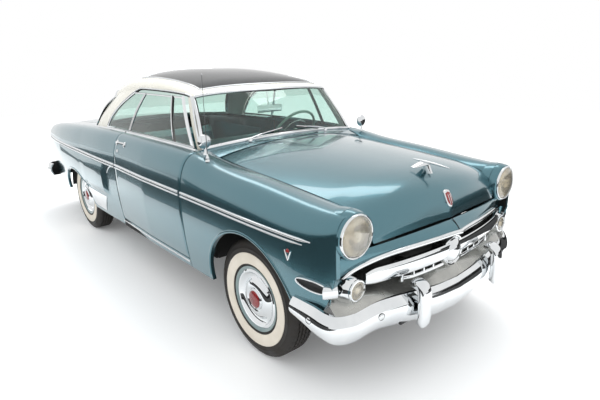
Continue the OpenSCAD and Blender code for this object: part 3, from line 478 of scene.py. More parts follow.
def cells(n, m, wrap_u=False, wrap_v=False, gone=None):
    out = []
    for i in range(n if wrap_u else n - 1):
        for j in range(m if wrap_v else m - 1):
            if gone is None or not gone[i, j]:
                i2, j2 = (i + 1) % n, (j + 1) % m
                out.append([i * m + j, i * m + j2, i2 * m + j2, i2 * m + j])
    return out


def normals(g):
    u, v = np.gradient(g, axis=0), np.gradient(g, axis=1)
    n = np.cross(u, v)
    return n / np.maximum(np.linalg.norm(n, axis=-1, keepdims=True), 1e-9)


def arc(n, a=0.0, b=360.0):
    return np.radians(np.linspace(a, b, n))


def half_round(w, h, n=8):
    """The profile of a moulding, w wide and h high, flat below."""
    a = arc(n, 180, 0)
    return np.concatenate([stack(np.cos(a) * w / 2, np.sin(a) * h), [[w / 2, -2], [-w / 2, -2]]])


def rolled(a, b, n, edge=3.5):
    """Stations from a to b, close together at both ends, and how far each is sunk there to round the edge."""
    d = edge * (1 if b > a else -1)
    xs = np.concatenate([[a, a + d * 0.3, a + d], np.linspace(a + d, b - d, n)[1:-1],
                         [b - d, b - d * 0.3, b]])
    sink = np.zeros(len(xs))
    sink[[0, -1]], sink[[1, -2]] = edge * 0.8, edge * 0.22
    return xs, sink


def pair(make_piece, name, slot, bodies=("body", "body"), replaces=None):
    """A piece on the left and its mirror image on the right."""
    for (side, s), body in zip(SIDES, bodies):
        p = make_piece()
        (p if s > 0 else p.mirrored()).make(f"{name}_{side}", body,
                                            [f"{replaces}_{side}"] if replaces else (), slot)


# ---------------------------------------------------------------- body sides


def arch_height(x):
    front = np.abs(x - FRONT_AXLE)
    rear = np.abs(x - REAR_AXLE) / ARCH_REAR[0]
    return np.where(front < ARCH_R, HUB_Z + np.sqrt(np.maximum(ARCH_R**2 - front**2, 0)),
                    np.where(rear < 1, HUB_Z + ARCH_REAR[1] * np.sqrt(np.maximum(1 - rear**2, 0)), 0))


def side_stations(a, b, centre, half, extra=()):
    """Stations along a panel, closer together over its wheel opening."""
    xs, _ = rolled(a, b, 46)
    over = centre - half * np.cos(arc(61, 0, 180))
    clear = xs[(xs < centre - half - 4) | (xs > centre + half + 4)]
    xs = np.concatenate([clear, over, [centre - half - 3, centre + half + 3], extra])
    return np.unique(np.round(np.sort(xs), 3))


def side_panel(xs, lows, walls, ends):
    outer, inner = [], []
    for x, low, wall in zip(xs, lows, walls):
        p = section(x, low, (float(edge_y(x)), float(edge_z(x))))
        near = min(abs(x - ends[0]), abs(x - ends[1]))
        sink = 2.8 * max(0.0, 1 - near / 3.0)
        c, s = np.cos(p[:, 2]), np.sin(p[:, 2])
        outer.append(stack(x, p[:, 0] - sink * c, p[:, 1] - sink * s))
        inner.append(stack(x, p[:, 0] - wall * c, p[:, 1] - PANEL * s))
    return np.array(outer), np.array(inner)


def arch_lip(centre, rx, rz, start, stop):
    """The rolled edge of a wheel opening."""
    a = arc(61, start, stop)
    x, z = centre + rx * np.cos(a), HUB_Z + rz * np.sin(a)
    return body_point(x, z, -1.0)


def fender():
    xs = side_stations(DOOR_X[1] + GAP, LAMP[0], FRONT_AXLE, ARCH_R)
    lows = np.maximum(lower_z(xs), arch_height(xs))
    outer, inner = side_panel(xs, lows, np.full(len(xs), PANEL), (DOOR_X[1] + GAP, 9e9))
    p = Piece().slab(outer, inner, PAINT, inner_mat=UNDER)
    path, n = arch_lip(FRONT_AXLE, ARCH_R + 9, ARCH_R + 9, 17.5, 176)
    p.sweep(path, half_round(20, 6, 9), PAINT, up=n)
    # the painted ring round the headlight, with its seam
    p.lathe([(118, -92), (121.5, -60), (121.5, -33.5), (119, -32), (119, -30), (121.5, -28.5), (118, -4),
             (112, 10), (104, 14), (100, 12), (100, -80)], LAMP, (1, 0, 0), PAINT, 72)
    return p


def quarter():
    ends = (TAIL_LAMP[0], DOOR_X[0] - GAP)
    near_scoop = (SCOOP_X, SCOOP_X - 1.5, SCOOP_X - SCOOP_RAMP, SCOOP_X - SCOOP_RAMP - 3)
    xs = side_stations(*ends, REAR_AXLE, ARCH_REAR[0], near_scoop)
    lows = np.maximum(lower_z(xs), arch_height(xs))
    walls = PANEL + (DOOR_T - PANEL) * np.clip((xs + 800) / 160, 0, 1)
    outer, inner = side_panel(xs, lows, walls, (9e9, ends[1]))
    p = Piece().slab(outer, inner, PAINT, inner_mat=VINYL)
    path, n = arch_lip(REAR_AXLE, ARCH_REAR[0] + 8, ARCH_REAR[1] + 8, 2, 178)
    p.sweep(path, half_round(18, 6, 9), PAINT, up=n)
    return p


def door():
    xs, sink = rolled(*DOOR_X, 40)
    outer, inner = [], []
    for i, x in enumerate(xs):
        s = section(x, DOOR_LOW, (float(crown_y(x)) - DOOR_LEDGE, float(crown_z(x)) - 2))
        cut = np.zeros(len(s))
        cut[0] = 2.5
        c, n = np.cos(s[:, 2]), np.sin(s[:, 2])
        deep = DOOR_RAKE * np.clip((DOOR_X[0] + 60 - x) / 60, 0, 1)
        outer.append(stack(x, s[:, 0] - np.maximum(sink[i], cut) * c, s[:, 1] - sink[i] * n))
        inner.append(stack(x + deep, s[:, 0] - DOOR_T * c, s[:, 1] - PANEL * n))
    return Piece().slab(np.array(outer), np.array(inner), PAINT, inner_mat=VINYL)


pair(fender, "fender_skin", "paint", replaces="front_fender")
pair(quarter, "quarter_skin", "paint", replaces="quarter_panel")
pair(door, "door_skin", "paint", ("door_left", "door_right"), "door")


def rocker():
    x, z = np.linspace(DOOR_X[0] - 6, DOOR_X[1] + 6, 40), np.array([330, 340, 352, 364, 376, 383, 386])
    g, n = body_point(*np.meshgrid(x, z, indexing="ij"))
    g[:, -1] -= n[:, -1] * 3
    top = g[:, -1:] - (0, 70, 0)
    low = g[:, :1] - (0, 50, 0)
    p = Piece().grid(np.concatenate([low, g, top], 1), PAINT)
    x = np.linspace(-150, 1000, 60)
    path, n = body_point(x, np.full(60, 368.0), 0.5)
    return p.sweep(path, half_round(12, 6), CHROME, up=n)


pair(rocker, "rocker", "paint")


# ---------------------------------------------------------------- hood, trunk lid, cowl, deck


def lid(table, n, cross=28):
    rows = finer(table, n)
    v = np.linspace(-1, 1, 2 * cross + 1)
    a = np.abs(v)
    x = rows[:, :1] + (rows[:, 2:3] - rows[:, :1]) * a**2
    y = rows[:, 3:4] * v
    x = x + (12 * np.exp(-np.abs(y) / 70) - 12) * np.clip((x - 2250) / 110, 0, 1) ** 2
    z = rows[:, 1:2] + (rows[:, 4:5] - rows[:, 1:2]) * a**2.3
    return stack(x, y, z)


def hood_z(x):
    rows = finer(HOOD, 12)
    return float(np.interp(x, rows[:, 0], rows[:, 1]))


hood = lid(HOOD, 7)
p = Piece().slab(hood, hood - normals(hood) * LID, PAINT, inner_mat=UNDER)
p.make("hood_skin", "hood", ["hood"], "paint")
trunk = lid(TRUNK, 6)
p = Piece().slab(trunk, trunk + normals(trunk) * LID, PAINT, inner_mat=UNDER)
p.make("trunk_skin", "trunk_lid", ["trunk_lid"], "paint")

FOOT_X, FOOT_Z, COWL_X, SKIN_T = (1016, 962), (1128, 1090), HOOD[0][0] - 14, 12.0


def foot(v):
    """The windshield's foot at v, from -1 on the right to 1 on the left."""
    w = np.abs(v)
    return stack(FOOT_X[0] + (FOOT_X[1] - FOOT_X[0]) * w**2, 677 * v,
                 FOOT_Z[0] + (FOOT_Z[1] - FOOT_Z[0]) * w**2)


def cowl_grid():
    v = np.linspace(-1, 1, 49)
    w, out = np.abs(v), []
    for s in np.linspace(0, 1, 10):
        x = COWL_X + (foot(v)[:, 0] - COWL_X) * s
        y = v * (edge_y(np.maximum(x, 1004)) - 0.6)
        z = (HOOD[0][1] + (float(edge_z(COWL_X)) - HOOD[0][1]) * w**2.3) * (1 - s) + foot(v)[:, 2] * s
        out.append(stack(x, y, z))
    return np.array(out)


g = cowl_grid()
p = Piece().slab(g, g - (0, 0, SKIN_T), PAINT)
p.block((1084, -688, 375), (1096, 688, 1030), UNDER, 2)
p.block((1056, -100, 1020), (1090, 100, 1098), UNDER, 2)
p.block((1086, -100, 1020), (1136, 100, 1090), UNDER, 2)
q = Piece().block((1012, 612, 392), (1084, 788, 1012), UNDER, 3)
q.block((893, 641, 392), (1012, 685, 1012), DASH, 4)
q.block((893, 641, 392), (1001, 685, 1083), DASH, 5)
for z in (500, 900):
    q.block((996.5, 746, z), (1012, 779, z + 60), STEEL, 3)
p.join(q.both())
p.make("cowl_skin", "body", ["cowl"], "paint")

v = np.linspace(-1, 1, 49)
w, rows = np.abs(v), []
for s in np.linspace(0, 1, 12):
    xa, xb = -1190 + (-904 + 1190) * w**2, TRUNK[0][0] + GAP
    x = xa + (xb - xa) * s
    za, zb = 1082 + (edge_z(xa) - 1082) * w**2.3, TRUNK[0][1] + (TRUNK[0][4] - TRUNK[0][1]) * w**2.3
    rows.append(stack(x, v * (edge_y(x) - 2), za + (zb - za) * s))
g = np.array(rows)
p = Piece().slab(g, g - (0, 0, SKIN_T), PAINT)
p.block((-1370, -100, 1020), (-1310, 100, 1055), UNDER, 2)
p.block((-1314, -575, 1020), (-1080, 575, 1032), CARPET, 3)
p.make("deck_skin", "body", ["rear_deck"], "paint")

z = np.linspace(612, 440, 14)[:, None]
v = np.linspace(-1, 1, 41)[None]
g = stack(-2428 + 24 * v**2 + (612 - z) * 0.1, v * 640, z)
Piece().slab(g, g + (20.0, 0, 0), PAINT).make("tail_skin", "body", ["tail_panel"], "paint")

# ---------------------------------------------------------------- roof and glass

POST_TOP, GLASS_TOP = 1084.0, (636.0, 1406.0)
UP, TOP, ROW_N = 6, 7, 6
ROOF_T, ROOF_CAP, GLASS_T = 22, 1577, 5.0


def roof_top(r, v):
    """Points across the roof at v from 1 (left edge) to -1 (right edge)."""
    w = np.abs(v)
    return stack(r[0] + (r[2] - r[0]) * w**2, np.sign(v) * r[3] * np.sin(w * np.pi / 2),
                     r[1] + (r[4] - r[1]) * (1 - np.cos(w * np.pi / 2)) ** 1.25)


def roof_side(r, v):
    """Points up the left side of the roof, from its foot at v = 0 to its edge at v = 1."""
    at_foot = np.array([r[5], r[6], POST_TOP + 0.3 if r[5] > 850 else float(crown_z(r[5])) + 0.9])
    edge = np.array([r[2], r[3], r[4]])
    v = np.asarray(v, float)[:, None]
    return at_foot + (edge - at_foot) * v + np.array([-float(bow(r[5])), 10, 0]) * np.sin(np.pi * v)


def bow(x):
    """How far the quarter window's rear edge is bowed back, which fades out ahead of it and behind it."""
    return np.interp(x, [-890, -610, -300, 100], [25, 85, 20, 0])


rows = []
for r in finer(ROOF, ROW_N):
    up = roof_side(r, np.linspace(0, 1, 3 * UP + 1)[:-1])
    top = roof_top(r, np.linspace(1, -1, 12 * TOP + 1))
    rows.append(np.concatenate([up, top, up[::-1] * (1, -1, 1)]))
roof = np.array(rows)
n_rows, n_cols = roof.shape[0] - 1, roof.shape[1] - 1
gone = np.zeros((n_rows, n_cols), bool)
gone[ROW_N:5 * ROW_N, :3 * UP] = gone[ROW_N:5 * ROW_N, n_cols - 3 * UP:] = True
hole = (3 * UP + 2 * TOP, n_cols - 3 * UP - 2 * TOP)
sun = np.zeros_like(gone)
sun[ROW_N:5 * ROW_N, hole[0]:hole[1]] = True
inner = roof + normals(roof) * ROOF_T * (1 if (normals(roof)[20, n_cols // 2, 2] < 0) else -1)
roof[..., 2] = np.minimum(roof[..., 2], ROOF_CAP)
inner[:, 0, 2], inner[:, -1, 2] = roof[:, 0, 2], roof[:, -1, 2]
p = Piece().slab(roof, inner, CREAM, gone | sun, HEADLINER)
p.make("roof_skin", "body", ["roof_shell"], "roof_paint")

down = normals(roof)
down *= -np.sign(down[20, n_cols // 2, 2])
pane = slice(ROW_N, 5 * ROW_N + 1), slice(hole[0], hole[1] + 1)
patch = roof[pane] + down[pane] * 2
Piece().slab(patch, patch + (0, 0, -6.0), SMOKED).make("roof_window", "body", ["roof_glass"], "roof_glass")


def outline(g):
    """The closed border of a grid of points."""
    return np.concatenate([g[0, :-1], g[:-1, -1], g[-1, :0:-1], g[:0:-1, 0]])


rim = outline(patch - down[pane] * 2)
p = Piece().sweep(rim, half_round(15, 7), CHROME, up=-outline(down[pane]), closed=True)

head_v = np.linspace(1, -1, 61)
head = roof_top(np.array(ROOF[0], float), head_v)


def screen(low, high, bulge):
    """A grid between two curves, bowed out by bulge in its middle."""
    steps = np.linspace(0, 1, 21)[:, None, None]
    return low + (high - low) * steps + np.array(bulge) * np.sin(math.pi * steps)


shield = screen(foot(head_v) + (6, 0, 3), head + (5, 0, -3), (10, 0, 6))
out = normals(shield)
out *= np.sign(out[10, 30, 0])
Piece().slab(shield, shield - out * GLASS_T, GLASS).make("windshield", "body", ["windshield_glass"], "glass")
last = roof_top(np.array(ROOF[-1], float), head_v)
w = np.abs(head_v)
rear_foot = stack(-1192 + 286 * w**2, 706 * head_v, 1085 + 4 * w**2)
back = screen(last + (-4, 0, -3), rear_foot, (-20, 0, 30))
out_b = normals(back)
out_b *= -np.sign(out_b[10, 30, 0])
Piece().slab(back, back - out_b * GLASS_T, GLASS).make("rear_window", "body", ["rear_window_glass"], "glass")


def side_glass(front, rear):
    rows = []
    for s in np.linspace(0, 1, 17):
        xf, xt = rear[0] + (front[0] - rear[0]) * s, rear[1] + (front[1] - rear[1]) * s
        a = np.array([xf, float(crown_y(xf)) - 18, float(crown_z(xf)) + 0.3])
        b = np.array([xt, GLASS_TOP[0], GLASS_TOP[1]])
        v = np.linspace(0, 1, 13)[:, None]
        rows.append(a + (b - a) * v + np.array([-float(bow(xf)), 9, 0]) * np.sin(np.pi * v))
    return np.array(rows)


DOOR_GLASS, QUARTER_GLASS = ((895, 672), (-104, 88)), ((-114, 78), (-596, -118))


def flat(half, low, high):
    """A rectangular profile, half wide on each side."""
    return [(-half, low), (-half, high), (half, high), (half, low)]


def frame_glass(p, g, *bars):
    """Puts bars, and the same rails along the top and the belt, round a side window."""
    rails = (g[:, -1] + (0, 0, -5), 5, -5, 6, CHROME), (g[:, 0] + (0, 0, 9), 9, -6, 7, CHROME)
    for path, half, low, high, mat in bars + rails:
        p.sweep(path - (0, GLASS_T / 2, 0), flat(half, low, high), mat, up=(0, 1, 0))
    return p


def door_glass():
    g = side_glass(*DOOR_GLASS)
    p = Piece().slab(g, g - (0, GLASS_T, 0), GLASS)
    vent = g[0] + (g[-1] - g[0]) * 0.74
    return frame_glass(p, g, (g[0], 4, -6, 7, CHROME), (g[-1], 12, -6, 7, CHROME), (vent, 7, -7, 8, CHROME),
                       (vent + (14, 0, 0), 5, -8, 7, BLACK))


def quarter_glass():
    g = side_glass(*QUARTER_GLASS)
    return Piece().slab(g, g - (0, GLASS_T, 0), GLASS)


pair(door_glass, "door_window", "glass", ("door_left", "door_right"), "door_glass")
quarter_glass().both().make("quarter_window", "body", ["quarter_glass"], "glass")
g = side_glass(*QUARTER_GLASS)
q = frame_glass(Piece(), g, (g[-1] - (5, 0, 0), 4, -6, 8, CHROME), (g[0] + (4, 0, 0), 6, -6, 8, CHROME))
# drip rail over the side windows, and down to the belt at the rear
edge = np.array([[r[2], r[3] + 3, r[4] + 4] for r in finer(ROOF, 5)])
front = np.array([roof_side(np.array(ROOF[0], float), [t])[0] for t in np.linspace(0.02, 1, 12)]) + (2, 5, 0)
rear = np.array([roof_side(np.array(ROOF[5], float), [t])[0] for t in np.linspace(1, 0.02, 14)]) + (0, 5, 0)
path = np.concatenate([front[:-1], edge[:26], rear[1:]])
path = np.array([np.convolve(np.pad(c, 2, mode="edge"), np.ones(5) / 5, "valid") for c in path.T]).T
q.sweep(path, half_round(13, 8), CHROME, up=(0, 1, 0))
q.sweep(path + (0, -2, -9), half_round(9, 4), BLACK, up=(0, 1, 0))
p.join(q.both())
for g, out_g in ((shield, out), (back, out_b)):
    ring, ring_n = outline(g), outline(out_g)
    p.sweep(ring, half_round(24, 9), CHROME, up=ring_n, closed=True)
    inner_ring = ring + (g[10, 30] - ring) / np.linalg.norm(g[10, 30] - ring, axis=1, keepdims=True) * 15
    p.sweep(inner_ring, half_round(9, 4), BLACK, up=ring_n, closed=True)
p.make("window_trim", "body", (), "chrome")

# ---------------------------------------------------------------- side mouldings and fittings


def strip_z(x):
    return np.interp(x, [-2330, -1266, -173, 1033, 1758, 2181], [850, 846, 838, 836, 834, 834])


def strips(x0, x1, tip=0):
    """The double moulding along the side between two stations."""
    p = Piece()
    for dz, wide, high in ((11, 17, 9), (-11, 13, 8)):
        end = x1 - (0 if dz > 0 else 46) if tip > 0 else x1
        xs = np.linspace(x0, end, max(8, int(abs(end - x0) / 22)))
        path, n = body_point(xs, strip_z(xs) + dz, 0.5)
        k = np.ones(len(xs))
        if tip > 0:
            k = np.clip((end - xs) / 60, 0.25, 1) ** 0.7
        if tip < 0:
            k = np.clip((xs - x0) / 90, 0.3, 1) ** 0.7
        p.sweep(path, half_round(wide, high), CHROME, up=n, scale=k)
    xs = np.linspace(x0 + 30, x1 - (60 if tip > 0 else 2), max(8, int(abs(x1 - x0) / 22)))
    path, n = body_point(xs, strip_z(xs) + 1, 0.5)
    return p.sweep(path, half_round(6, 2), BLACK, up=n)


def fender_trim():
    p = strips(DOOR_X[1] + GAP + 2, 2181, 1)
    # a plain chevron badge
    for dx, dz in ((-20, 24), (20, 24)):
        path, n = body_point(np.linspace(2042, 2042 + dx, 8), np.linspace(724, 724 + 2 * dz, 8), 0.5)
        p.sweep(path, half_round(10, 7), CHROME, up=n, scale=np.linspace(1.15, 0.8, 8))
    at, n = body_point(2042, 770, 0.0)
    p.lathe([(0, 7), (7, 6), (10, 3), (11, 0)], at, n, RED, 20)
    return p


def quarter_trim():
    p = strips(-2330, DOOR_X[0] - GAP - 2, -1)
    # the hooked end of the moulding
    t = np.linspace(0, 1, 14)
    path, n = body_point(-146 - 176 * t**0.8, 829 - 76 * t**2.2, 1.0)
    p.sweep(path, half_round(15, 9), CHROME, up=n, scale=np.linspace(1, 0.35, 14))
    # stone shield ahead of the rear wheel
    u = np.linspace(0, 1, 15)
    rows = []
    for z in np.linspace(365, 520, 17):
        back = REAR_AXLE + ARCH_REAR[0] * math.sqrt(max(0.0, 1 - ((z - HUB_Z) / ARCH_REAR[1]) ** 2)) + 16
        xs = back + (SCOOP_X - SCOOP_RAMP - 4 - (520 - z) * 0.7 - back) * u
        rows.append(body_point(xs, np.full(15, z), 2.5 + 2 * math.sin(math.pi * (z - 365) / 155))[0])
    p.shell(np.array(rows), -3, CHROME)
    return p


def door_trim():
    p = strips(DOOR_X[0] + 1, DOOR_X[1] - 20)
    _, n = body_point(-40.0, 1030.0)
    t = np.linspace(0, 1, 17)
    path = body_point(-98 + 150 * t, 1028 + 6 * t)[0] + n * (6 + 20 * np.sin(np.pi * t)[:, None] ** 0.6)
    grip = [(-8, -3), (-8, 3), (-4, 6), (4, 6), (8, 3), (8, -3), (4, -5), (-4, -5)]
    p.sweep(path, grip, CHROME, up=n)
    for x in (-98, 52):
        a, n2 = body_point(float(x), 1029.0, 0.0)
        p.lathe([(17, 0), (15, 5), (9, 9), (0, 10)], a, n2, CHROME, 24, (1, 1.3))
    a, n2 = body_point(-70.0, 968.0, 0.0)
    p.lathe([(13, 0), (12, 4), (9, 6), (5, 5), (0, 5)], a, n2, CHROME, 24)
    # belt moulding on the door's top
    xs = np.linspace(DOOR_X[0] + 3, DOOR_X[1] - 40, 40)
    path = stack(xs, crown_y(xs) - 4, crown_z(xs) - 1)
    return p.sweep(path, half_round(20, 9), CHROME, up=(0, 0.35, 0.94))


pair(fender_trim, "fender_trim", "chrome")
pair(quarter_trim, "quarter_trim", "chrome")
pair(door_trim, "door_trim", "chrome", ("door_left", "door_right"))

p = Piece()
xs = np.linspace(DOOR_X[0] - GAP - 3, -900, 30)
p.sweep(stack(xs, crown_y(xs) - 2, crown_z(xs) + 1), half_round(18, 8), CHROME, up=(0, 0.3, 0.95))
# fender mirror
foot_at = np.array([1077.0, 722.0, float(crown_z(1077.0)) - 1])
p.lathe([(16, 0), (15, 5), (10, 10), (8, 14), (7, 50), (8, 62), (0, 66)], foot_at, (0, 0, 1), CHROME, 32)
mirror_at = foot_at + (0, 0, 80)
p.lathe([(0, -14), (43, -14), (45, -12), (45, -6), (42, 2), (33, 8), (20, 12), (0, 14)], mirror_at, (1, 0, 0),
        CHROME, 48)
p.lathe([(0, -16), (39, -15.5), (41, -13)], mirror_at, (1, 0, 0), MIRROR, 48)
p.both()
# inside mirror
p.block((796, -112, 1264), (812, 112, 1316), CHROME, 9).block((793, -104, 1270), (797, 104, 1310), MIRROR, 2)
p.tube(np.array([(804, 0, 1300), (784, 0, 1330), (772, 0, 1380), (770, 0, 1424)]), 6, CHROME)
p.make("mirror_set", "body", ["mirrors"], "chrome")

foot_y = 770.0
a0 = np.array([1180.0, -foot_y, 0.0])
s = (foot_y - float(crown_y(1180.0))) / float(side_y(1180.0) - crown_y(1180.0))
a0[2] = float(side_z(1180.0) + (crown_z(1180.0) - side_z(1180.0)) * (1 - s**SHOULDER) ** (1 / SHOULDER)) - 2
p = Piece().lathe([(15, 0), (14, 6), (11, 14), (12, 20), (8, 28), (5, 40), (2.6, 46)], a0, (0, 0, 1), CHROME,
                  24)
p.tube(np.array([a0 + (0, 0, z) for z in (40, 180, 181, 340, 341, 508)]), 1.0, STEEL, 8,
       scale=[2.5, 2.5, 2.0, 2.0, 1.5, 1.5])
p.lathe([(1.5, 500), (2.6, 503), (2.6, 508), (0, 510)], a0, (0, 0, 1), CHROME, 12)
p.make("aerial", "body", ["antenna"], "chrome")

# wipers
p = Piece()
for s in (1, -1):
    at = foot(np.array([s * 0.52]))[0] + (38, 0, 0)
    p.lathe([(14, -4), (13, 6), (8, 14), (5, 18), (0, 18)], at, (0.2, 0, 1), CHROME, 20)
    tip_v = s * 0.10
    k = np.linspace(0, 1, 12)
    blade = foot(s * 0.44 + (tip_v - s * 0.44) * k) + stack(12 - 6 * k, 0 * k, 16 + 26 * k)
    p.sweep(blade, flat(3, -3, 3), BLACK, up=(1, 0, 0.6))
    p.sweep(blade + (4, 0, 3), flat(2.5, 0, 5), CHROME, up=(1, 0, 0.6))
    arm = np.array([at + (0, 0, 14), (at + blade[6]) / 2 + (8, 0, 14), blade[6] + (7, 0, 5)])
    p.tube(arm, 4.5, CHROME, 8)
p.make("wipers", "body", (), "chrome")

# ---------------------------------------------------------------- hood ornament and crest

p = Piece()
t = np.linspace(0, 1, 25)
spine = stack(2339 - 232 * t, 0 * t, 1077 + 19 * t + 3 * np.sin(np.pi * t))
a = arc(17)[:-1]
taper = np.clip(np.sin(np.pi * (0.04 + 0.9 * t)) ** 0.7, 0.12, 1)
p.sweep(spine, stack(np.cos(a) * 9, np.sin(a) * 7), CHROME, up=(0, 0, 1), scale=taper)
for s in (1, -1):
    root = np.array([[2225, 0, 1084], [2150, 0, 1091]])
    tip = np.array([[2166, s * 60, 1062], [2132, s * 61, 1063]])
    k = np.linspace(0, 1, 9)[:, None, None]
    w2 = root[None] * (1 - k) + tip[None] * k
    chord = np.linspace(0, 1, 9)
    g = w2[:, :1] + (w2[:, 1:] - w2[:, :1]) * chord[None, :, None]
    thick = 3.2 * np.sin(np.pi * chord)[None, :, None] ** 0.6 * (1 - 0.6 * k) + 0.4
    p.slab(g + thick * (0, 0, 1), g - thick * (0, 0, 1), CHROME)
ped = np.linspace(0, 1, 7)
z0 = hood_z(2200) - 4
stem = [(-5, -16), (-2, -24), (2, -24), (5, -16), (5, 16), (2, 26), (-2, 26), (-5, 16)]
p.sweep([(2205 - 12 * q, 0, z0 + (1082 - z0) * q) for q in ped], stem, CHROME, up=(1, 0, 0),
        scale=1.2 - 0.5 * ped)
# the shield crest on the hood's nose, left blank
row = finer(HOOD, 12)


def nose_point(y, z, out=0.0):
    x = np.interp(z, row[::-1, 1], row[::-1, 0]) - (y / 560) ** 2 * 60
    return stack(x + out, y, z)


def crest(scale, out, mat, deep):
    u, v2 = np.linspace(-1, 1, 17), np.linspace(-1, 1, 21)
    rows = []
    for k in v2:
        half = 30 * (1 - 0.10 * (k > 0) * k)
        if k <= -0.2:
            half = 30 * math.sqrt(max(0.02, 1 - ((k + 0.2) / 0.82) ** 2))
        y = u * half * scale
        z = 916 + k * 41 * scale + (3.5 * np.cos(u * np.pi) * scale if k > 0.9 else 0 * u)
        rows.append(nose_point(y, z, out) + np.array([1.0, 0, 0]) * deep * (1 - (0.85 * u**2) ** 2)[:, None])
    g = np.array(rows)
    p.slab(g, g - np.array([out + deep + 3.0, 0, 0]), mat)


crest(1.0, 2.0, CHROME, 5.0)
crest(0.78, 4.5, RED, 4.5)
for y in (-8.5, 8.5):
    z = np.linspace(890, 938, 8)
    p.sweep(nose_point(np.full(8, y), z, 9.2), half_round(3, 2), CHROME, up=(1, 0, 0))
p.make("hood_ornament", "hood", (), "chrome")

# ---------------------------------------------------------------- front panel, grille and lamps


def lip_x(y): return 2370 - 60 * (y / 560) ** 2


def lip_z(y):
    return 817 - GAP - np.where(y < 560, 20 * (y / 560) ** 2,
                                20 + 30 * (1 - np.cos(np.minimum(y - 560, 130) / 130 * np.pi / 2)))


def brow_x(y): return 2412 - 150 * (y / 740) ** 2 + 16 * np.exp(-np.abs(y) / 60)
def brow_z(y): return 754 - 90 * (y / 745) ** 5


y = np.linspace(-745, 745, 91)
a = np.abs(y)
rows = []
for s in np.linspace(0, 1, 13):
    sag = 5 * math.sin(math.pi * s)
    rows.append(stack(lip_x(a) + (brow_x(a) - lip_x(a)) * s + sag, y,
                      lip_z(a) + (brow_z(a) - lip_z(a)) * s + sag * 0.5))
g = np.array(rows)
lift = np.zeros((13, 1, 3))
lift[0, 0, 2], lift[1, 0, 2] = -2.5, -0.4
p = Piece().slab(g + lift, g + lift - (14.0, 0, 4.0), PAINT)
p.block((2246, 440, 742), (2340, 470, 764), UNDER, 3)
seam = stack(np.linspace(lip_x(0) + 6, brow_x(0) - 2, 9) + 4 * np.sin(np.linspace(0, np.pi, 9)), 0.0,
             np.linspace(lip_z(0), brow_z(0) + 4, 9) + 2)
p.sweep(seam, half_round(3, 1.2), BLACK, up=(0.8, 0, 0.6))
p.make("nose_panel", "body", ["front_panel"], "paint")

p = Piece()
y = np.linspace(-748, 748, 121)
a = np.abs(y)
drop = np.clip((a - 690) / 58, 0, 1)
path = stack(brow_x(a) + 3 - 16 * drop**2, y, brow_z(a) - 3 - 26 * drop**1.6)
p.sweep(path, half_round(26, 15, 10), CHROME, up=(0.86, 0, 0.5))
# near-black hollow behind the bar: painted shade that fills the grille opening
y = np.linspace(-700, 700, 41)
a = np.abs(y)
rows = [stack(brow_x(a) - 8, y, brow_z(a) - 8), stack(brow_x(a) - 60, y, brow_z(a) - 14),
        stack(2290 - 40 * (a / 700) ** 2, y, 700 - 60 * (a / 700) ** 4),
        stack(2262 - 40 * (a / 700) ** 2, y, 560),
        stack(2262 - 40 * (a / 700) ** 2, y, 420)]
p.shell(np.array(rows), 3, SHADE_AND_CARD_BLACK)
# main bar, with a slot and teeth under its middle
yy = np.linspace(-632, 632, 101)
GRILLE_R, GRILLE_MID = 2600.0, (2380, 0, 636)
path = stack(2406 - GRILLE_R + np.sqrt(GRILLE_R**2 - yy**2), yy, 0 * yy + 640)
face = [(-34, -40), (-44, -30), (-47, -16), (-46, -7), (-38, -2), (-10, 0), (16, -1), (34, -8), (42, -22),
        (43, -40)]
p.sweep(path, face, CHROME, up=(1, 0, 0), scale=1 - 0.35 * np.clip((np.abs(yy) - 560) / 72, 0, 1) ** 2)
for s in (1, -1):
    y2 = s * np.linspace(86, 402, 24)
    low = stack(2398 - GRILLE_R + np.sqrt(GRILLE_R**2 - y2**2), y2,
                0 * y2 + 577 + 10 * np.clip((np.abs(y2) - 330) / 70, 0, 1))
    p.sweep(low, [(-9, -20), (-9, -3), (-4, 0), (5, 0), (9, -4), (9, -20)], CHROME, up=(1, 0, 0))
    for yt in (170, 245, 320):
        xt = 2400 - GRILLE_R + math.sqrt(GRILLE_R**2 - yt**2)
        p.block((xt - 30, s * yt - 6, 572), (xt - 3, s * yt + 6, 606), CHROME, 4)
    p.block((2350, s * 405 - 9, 568), (2372, s * 405 + 9, 612), CHROME, 7)
    # near-black blocks behind the bar: painted shade
    p.block((2246, s * 330 - 20, 616), (2340, s * 330 + 20, 656), SHADE_AND_CARD_BLACK, 3)
# round middle of the grille
p.lathe([(60, -80), (84, -50), (92, -12), (93, 6), (90, 16), (84, 22), (78, 20), (74, 14), (70, 14), (62, 24),
         (50, 33), (34, 40), (16, 44.5), (0, 46)],
        GRILLE_MID, (1, 0, 0), CHROME, 96)
p.lathe([(79.5, 14.5), (76.5, 12), (73, 14.5)], GRILLE_MID, (1, 0, 0), BLACK, 96)
for s in (1, -1):
    # six-sided pods
    hexa = [(100, -60), (97, -2), (64, 46)]
    for k in range(6):
        a0, a1 = math.radians(60 * k + 30), math.radians(60 * k + 90)
        pts = []
        for r, h in hexa:
            pts.append([(2270 + h, s * POD[1] + r * 0.86 * math.cos(t), POD[2] + r * 0.86 * math.sin(t))
                        for t in np.linspace(a0, a1, 5)])
        p.grid(np.array(pts), CHROME)
    p.lathe([(46, 34), (55, 42), (56, 50), (52, 56), (46, 57), (43, 52), (42, 40)],
            (2270, s * POD[1], POD[2]), (1, 0, 0), CHROME, 48)
